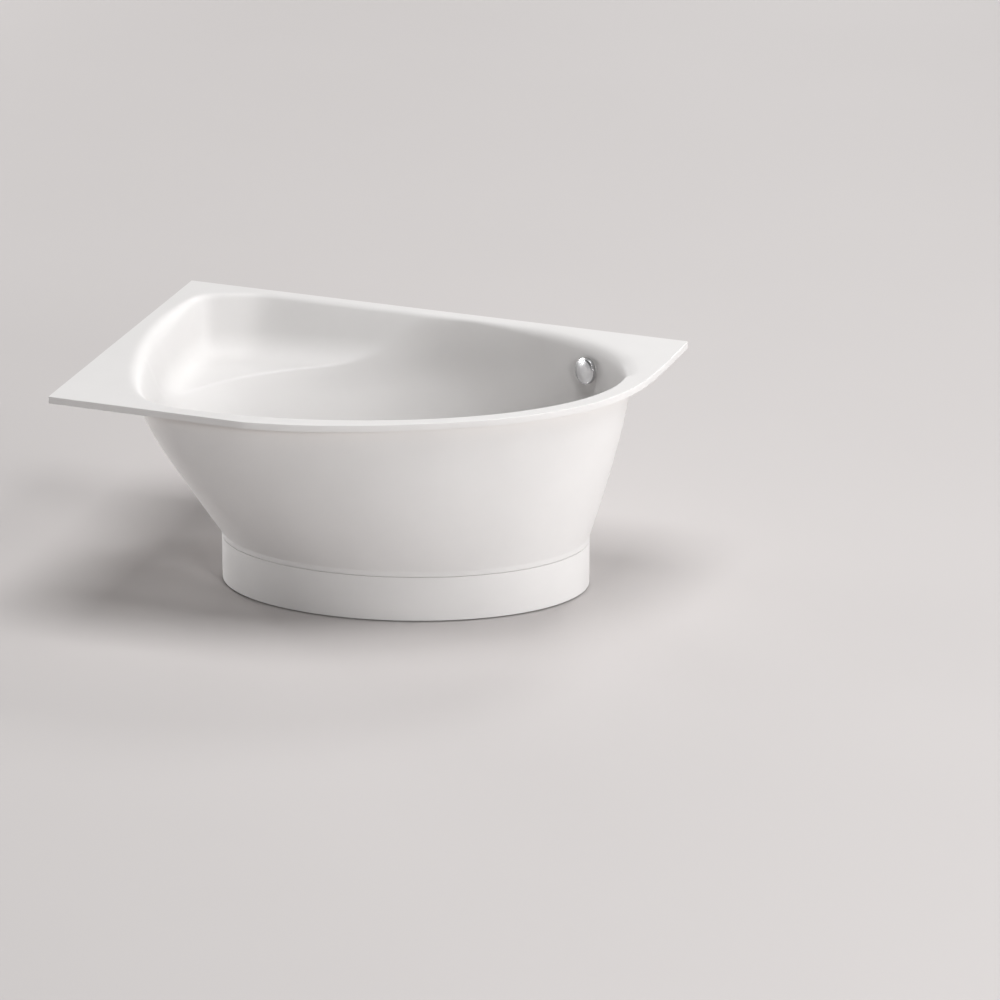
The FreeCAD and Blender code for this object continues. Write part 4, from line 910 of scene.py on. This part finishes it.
@dataclass
class Tub:
    """The visible mouldings: basin with rim, outer body and plinth; sizes in millimetres.

    Of each pair of counts, the first is rays in a fan and the second points kept of them.
    Outlines give distance, height and corner radius of each point.
    """

    form: TubForm
    palette: Palette
    waste: Matrix
    overflow: Matrix
    deck_inset: float = 2.0
    deck_counts: tuple[int, int] = (420, 138)
    deck_pull: float = 60.0
    under_inset: float = 6.0
    under_counts: tuple[int, int] = (300, 46)
    under_pull: float = 40.0
    waste_hole: float = 26.0
    overflow_hole: float = 24.0
    hole_depth: float = 60.0
    board_inset: float = 8.5
    board_overlap: float = 4.0
    board_gaps: tuple[float, float] = (0.4, 0.2)
    body_foot: float = 133.3
    body_step: float = 0.75
    collar_heights: tuple[float, float] = (141.0, 146.5)
    body_rings: int = 84
    body_clear: float = 0.2
    plinth_outline: Outline = (
        (0.0, 4.0, 1.2), (0.0, 132.3, 1.0), (-5.4, 132.3, 0.0), (-5.4, 145.5, 0.8),
        (-8.2, 145.5, 0.8), (-8.2, 127.0, 0.0), (-8.0, 4.0, 0.8))
    notch: tuple[float, float, float] = (62.0, 360.0, 110.0)
    notch_middle: float = 240.0
    notch_below: float = 10.0

    def build(self) -> None:
        """Model, finish and place the mouldings."""
        self.finish_piece(self.shell(), "basin_shell")
        self.finish_piece(self.body(), "outer_skirt")
        self.finish_piece(self.plinth(), "plinth_ring")
        self.finish_piece(self.stiffener(), "rim_stiffener", Finishes.BOARD)

    def finish_piece(self, piece: bpy.types.Object, node: str,
                     finish: Finishes = Finishes.ACRYLIC) -> None:
        """Coat a piece of the tub and let it stand for its node.

        Args:
            piece: the finished object.
            node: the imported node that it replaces.
            finish: its finish.
        """
        self.palette.coat(piece, finish)
        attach(piece, "tub")
        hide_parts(node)
        log.info("%s has %d faces", piece.name, len(piece.data.polygons))

    def shell(self) -> bpy.types.Object:
        """Basin, deck and lip as one closed sheet.

        Returns:
            The finished object.
        """
        form = self.form
        phi = form.directions()
        rim = form.rim_radius(phi)
        rays, kept = self.deck_counts
        top_r, top_z = march(form, phi, rim - self.deck_inset, 0.0, rays)
        top_r, top_z = even_out(top_r, top_z, kept, self.deck_pull)
        top_r[:, -1], top_z[:, -1] = rim - self.deck_inset, form.rim_top
        rays, kept = self.under_counts
        low_r, low_z = march(form, phi, rim - self.under_inset, form.sheet, rays)
        low_r, low_z = even_out(low_r, low_z, kept, self.under_pull)
        edge = rounded([(0.0, 0.0, 0.0), (2.0, 0.0, 1.6), (2.0, -form.rim_lip, 1.0),
                        (-3.0, -form.rim_lip, 0.8), (-3.0, -form.sheet, 0.0)], 4)[1:]
        edge_r = rim[:, None] - self.deck_inset + np.array([x for x, _ in edge])[None, :]
        edge_z = np.full_like(edge_r, form.rim_top) + np.array([y for _, y in edge])[None, :]
        r = np.concatenate([top_r, edge_r, low_r[:, ::-1]], axis=1)
        z = np.concatenate([top_z, edge_z, low_z[:, ::-1]], axis=1)
        piece = spoke_mesh("tub_shell", form.centre, phi, r, z, False)
        carve(piece, self.waste_hole, self.hole_depth, self.waste)
        carve(piece, self.overflow_hole, self.hole_depth, self.overflow)
        return outwards(piece, 40.0)

    def stiffener(self) -> bpy.types.Object:
        """Board under the deck, cut back where the rim's rounding dips lowest.

        Returns:
            The finished object.
        """
        form = self.form
        phi = form.directions()
        outer = form.rim_radius(phi) - self.board_inset
        inner = np.minimum(form.opening(phi) + form.roll(phi) - self.board_overlap,
                           outer - self.board_overlap)
        r = np.stack([inner, outer, outer, inner], axis=1)
        over, under = self.board_gaps
        top, bottom = form.rim_top - form.sheet - over, form.rim_under + under
        z = np.broadcast_to(np.array([top, top, bottom, bottom]), r.shape)
        return outwards(spoke_mesh("deck_board", form.centre, phi, r, z, True))

    def body(self) -> bpy.types.Object:
        """Egg-shaped outer body with its upright collar.

        Returns:
            The finished object.
        """
        form = self.form
        phi = np.radians(np.arange(0.0, 360.0, self.body_step))
        bottom, top = self.body_foot, form.rim_under - self.body_clear
        heights = np.concatenate([
            [bottom, bottom + 0.3, bottom + 1.0, *self.collar_heights],
            np.linspace(form.collar_top, top, self.body_rings)])
        out_r = form.body_radius(phi[:, None], np.broadcast_to(heights, (len(phi), len(heights))))
        out_r[:, 0] -= 1.0
        out_r[:, 1] -= 0.3
        r = np.concatenate([out_r, out_r[:, ::-4] - form.sheet], axis=1)
        z_line = np.concatenate([heights, heights[::-4]])
        z_line[-1] = bottom
        z = np.broadcast_to(z_line, r.shape)
        return outwards(spoke_mesh("outer_body", form.centre, phi, r, z, True), 40.0)

    def plinth(self) -> bpy.types.Object:
        """Oval plinth with rounded edges, its tongue and the pipe's notch.

        Returns:
            The finished object.
        """
        form = self.form
        phi = np.radians(np.arange(0.0, 360.0, self.body_step))
        outline = rounded(self.plinth_outline, 5)
        base = form.plinth_radius(phi)[:, None]
        r = base + np.array([x for x, _ in outline])[None, :]
        z = np.broadcast_to(np.array([y for _, y in outline]), r.shape)
        piece = spoke_mesh("plinth_band", form.centre, phi, r, z, True)
        bpy.ops.object.select_all(action="DESELECT")
        bpy.ops.mesh.primitive_cube_add(size=1.0)
        cutter = bpy.context.object
        wide, long, tall = (size * MM for size in self.notch)
        middle = (self.waste.translation.x, self.notch_middle * MM,
                  tall / 2 - self.notch_below * MM)
        cutter.matrix_world = Matrix.Translation(middle) @ Matrix.Diagonal((wide, long, tall, 1.0))
        subtract(piece, cutter)
        return outwards(piece, 32.0)


@dataclass
class Fittings:
    """The fittings that show in the basin.

    Outlines give radius, height and corner radius of each point, in millimetres.
    """

    palette: Palette
    waste: Matrix
    overflow: Matrix
    knob_outline: Outline = (
        (0.0, 22.4, 0.0), (16.0, 21.8, 40.0), (29.0, 20.0, 20.0), (35.0, 18.3, 0.3),
        (35.6, 18.9, 0.3), (37.0, 18.7, 0.5), (37.4, 17.8, 0.4), (37.4, 7.5, 0.8),
        (34.6, 7.5, 0.8), (34.4, 15.4, 1.5), (9.0, 16.6, 1.2), (9.0, 7.6, 0.5),
        (5.0, 7.6, 0.0), (5.0, 17.4, 0.0), (0.0, 17.4, 0.0))
    plug_outline: Outline = (
        (0.0, 8.8, 0.0), (14.0, 8.0, 20.0), (28.0, 4.8, 6.0),
        (31.0, 2.6, 1.2), (31.0, 0.0, 0.8), (0.0, 0.0, 0.0))
    plug_seat: float = 4.8
    flange_outline: Outline = (
        (21.0, -51.0, 0.0), (24.4, -51.0, 0.0), (24.4, 1.0, 0.0), (35.0, 1.0, 0.4),
        (34.6, 2.6, 0.8), (31.5, 4.3, 1.2), (26.2, 4.3, 0.8), (21.2, -0.4, 1.0))

    def build(self) -> None:
        """Model, finish and place the fittings."""
        self.place(self.knob(), "knob", Finishes.CHROME, "overflow_knob")
        self.place(self.plug(), "plug", Finishes.CHROME, "waste_plug")
        self.place(self.flange(), "tub", Finishes.CHROME, "waste_flange")

    def place(self, piece: bpy.types.Object, body: str, finish: Finishes, node: str) -> None:
        """Coat a fitting, put it on its body and let it stand for its node.

        Args:
            piece: the finished object.
            body: the body that carries it.
            finish: its finish.
            node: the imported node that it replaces.
        """
        self.palette.coat(piece, finish)
        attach(piece, body)
        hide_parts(node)
        log.info("%s has %d faces", piece.name, len(piece.data.polygons))

    def knob(self) -> bpy.types.Object:
        """Round turning knob with a slightly domed face, a crisp rim and a hollow back."""
        return turned("control_knob", rounded(self.knob_outline, 6), self.overflow)

    def plug(self) -> bpy.types.Object:
        """Low domed plug with a rounded edge."""
        raised = [(radius, self.plug_seat + z, corner) for radius, z, corner in self.plug_outline]
        return turned("domed_plug", rounded(raised, 6), self.waste)

    def flange(self) -> bpy.types.Object:
        """Waste flange that lies on the basin's floor, with its tube below."""
        return turned("drain_flange", rounded(self.flange_outline, 4), self.waste)


@dataclass
class Underworks:
    """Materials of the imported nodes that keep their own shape."""

    palette: Palette
    by_slot: dict[str, Finishes] = field(default_factory=lambda: {
        "acrylic": Finishes.ACRYLIC, "board": Finishes.BOARD, "zinc_steel": Finishes.ZINC,
        "pad_plastic": Finishes.PAD, "chrome": Finishes.CHROME, "brass": Finishes.BRASS,
        "seal_rubber": Finishes.RUBBER, "pipe_plastic": Finishes.PIPE,
        "hose_plastic": Finishes.HOSE, "cable_plastic": Finishes.CABLE})

    def build(self, model: dict) -> None:
        """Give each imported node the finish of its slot.

        Args:
            model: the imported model, as the frame holds it.
        """
        slots = {entry["node"]: entry["material_slot"] for entry in model["record"]["subparts"]}
        for name, node in model["nodes"].items():
            finish = self.by_slot[slots[name]]
            self.palette.coat(node, finish)
            log.info("%s is finished in %s", name, finish.value.name)


# ------------------------------------------------------------------ studio

@dataclass(frozen=True)
class Lamp:
    """One soft lamp on a dome round the tub; angles in degrees, lengths in metres."""

    name: str
    azimuth: float
    elevation: float
    distance: float
    size: tuple[float, float]
    power: float
    floor_gap: float = 0.02

    @property
    def place(self) -> Vector:
        """Where the lamp stands, with its lower edge clear of the floor.

        Returns:
            Its middle, in metres.
        """
        around, up = math.radians(self.azimuth), math.radians(self.elevation)
        flat = self.distance * math.cos(up)
        rise = max(self.distance * math.sin(up), self.size[1] / 2 + self.floor_gap)
        return Vector((flat * math.cos(around), flat * math.sin(around), rise))


@dataclass
class Studio:
    """Floor, world, lamps and camera, in metres."""

    lamps: tuple[Lamp, ...] = (
        Lamp("right_low", -10.0, 8.0, 12.0, (3.1, 2.6), 680.0),
        Lamp("right_high", 10.0, 52.0, 12.0, (3.6, 3.6), 430.0),
        Lamp("overhead", 0.0, 88.0, 12.0, (6.0, 6.0), 900.0),
        Lamp("left_low", 180.0, 5.0, 10.0, (2.7, 1.5), 500.0),
        Lamp("back_high", 80.0, 42.0, 12.0, (2.8, 2.8), 300.0),
        Lamp("back_left", 140.0, 8.0, 10.0, (2.7, 1.8), 280.0),
        Lamp("back_low", 100.0, 4.0, 10.0, (2.7, 1.3), 100.0),
        Lamp("front", -43.0, 24.0, 9.0, (1.8, 1.8), 205.0),
    )
    middle: tuple[float, float, float] = (0.0, 0.0, 0.3)
    floor_size: float = 20.4
    floor_colours: tuple[str, str] = ("#C0BCBB", "#C3BFBE")
    sky_colour: str = "#F2F1F0"
    sky_strengths: tuple[float, float] = (0.62, 0.02)
    sky_fade: float = 0.25
    sensor_mm: float = 36.0
    image_px: float = 1000.0
    focal_px: float = 5286.1
    turn: float = math.radians(19.76)
    drop: float = math.radians(21.93)
    place: tuple[float, float, float] = (4.934, -12.698, 5.723)

    def build(self) -> None:
        """Make the whole studio."""
        self.floor()
        self.world()
        for lamp in self.lamps:
            self.lamp(lamp)
        self.camera()
        bpy.context.scene.view_settings.view_transform = "Standard"

    def floor(self) -> None:
        """Large pale floor in matt paint, with the faintest clouding."""
        bpy.ops.object.select_all(action="DESELECT")
        bpy.ops.mesh.primitive_plane_add(size=self.floor_size, location=(0.0, 0.0, 0.0))
        plane = bpy.context.object
        plane.name = "studio_floor"
        material = bpy.data.materials.new("floor_paint")
        nodes = NodeTree(material)
        place = nodes.add("TexCoord").outputs["Object"]
        cloud = nodes.add("TexNoise", Vector=place, Scale=0.8, Detail=2.0).outputs["Fac"]
        one, two = (linear(colour) for colour in self.floor_colours)
        colour = nodes.add("Mix", {"data_type": "RGBA"}, i0=cloud, i6=one, i7=two).outputs[2]
        shader = nodes.add("BsdfPrincipled", Base_Color=colour, Roughness=0.75,
                           Specular_IOR_Level=0.1)
        nodes.add("OutputMaterial", Surface=shader.outputs["BSDF"])
        plane.data.materials.append(material)

    def world(self) -> None:
        """Pale surroundings that darken upwards from the horizon."""
        world = bpy.data.worlds.new("studio_world")
        bpy.context.scene.world = world
        nodes = NodeTree(world)
        toward = nodes.add("TexCoord").outputs["Generated"]
        rise = nodes.add("SeparateXYZ", Vector=toward).outputs["Z"]
        low, high = self.sky_strengths
        fade = nodes.add("MapRange", Value=rise, From_Min=0.0, From_Max=self.sky_fade,
                         To_Min=low, To_Max=high).outputs["Result"]
        back = nodes.add("Background", Color=linear(self.sky_colour), Strength=fade)
        nodes.add("OutputWorld", Surface=back.outputs["Background"])

    def lamp(self, lamp: Lamp) -> None:
        """Make one area lamp.

        Args:
            lamp: its name, place, size and power.
        """
        data = bpy.data.lights.new(lamp.name, "AREA")
        data.shape = "RECTANGLE"
        data.size, data.size_y = lamp.size
        data.energy = lamp.power
        item = bpy.data.objects.new(lamp.name, data)
        bpy.context.scene.collection.objects.link(item)
        item.location = lamp.place
        aim = Vector(self.middle) - lamp.place
        item.rotation_mode = "QUATERNION"
        item.rotation_quaternion = aim.to_track_quat("-Z", "Y")

    def camera(self) -> None:
        """Camera at the photograph's angle."""
        data = bpy.data.cameras.new("camera")
        data.sensor_width = self.sensor_mm
        data.lens = self.sensor_mm * self.focal_px / self.image_px
        data.clip_start, data.clip_end = 0.1, 100.0
        item = bpy.data.objects.new("camera", data)
        bpy.context.scene.collection.objects.link(item)
        item.location = self.place
        look = Vector((-math.sin(self.turn) * math.cos(self.drop),
                       math.cos(self.turn) * math.cos(self.drop), -math.sin(self.drop)))
        item.rotation_mode = "QUATERNION"
        item.rotation_quaternion = look.to_track_quat("-Z", "Y")
        bpy.context.scene.camera = item


# ------------------------------------------------------------------ making it

def axis_frame(place: Sequence[float], axis: Sequence[float]) -> Matrix:
    """Frame at a place whose own Z runs along an axis.

    Args:
        place: where the frame stands.
        axis: the direction of its Z.

    Returns:
        The frame as a matrix.
    """
    z = Vector(axis).normalized()
    x = Vector((0.0, 0.0, 1.0)).cross(z)
    x = x.normalized() if x.length > 1e-6 else Vector((1.0, 0.0, 0.0))
    y = z.cross(x)
    frame_matrix = Matrix((x, y, z)).transposed().to_4x4()
    frame_matrix.translation = Vector(place)
    return frame_matrix


def main() -> None:
    """Build the classes in order."""
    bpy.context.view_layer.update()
    joints = {joint["name"]: joint for joint in frame["joints"]}
    low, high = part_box("plug_stem")
    form = TubForm()
    waste = Matrix.Translation(((low.x + high.x) / 2, (low.y + high.y) / 2, form.floor * MM))
    knob = joints["knob_turn"]
    overflow = axis_frame(knob["pos_m"], knob["axis"])
    palette = Palette()
    Underworks(palette).build(frame)
    Tub(form, palette, waste, overflow).build()
    Fittings(palette, waste, overflow).build()
    Studio().build()


if __name__ == "__main__":
    main()
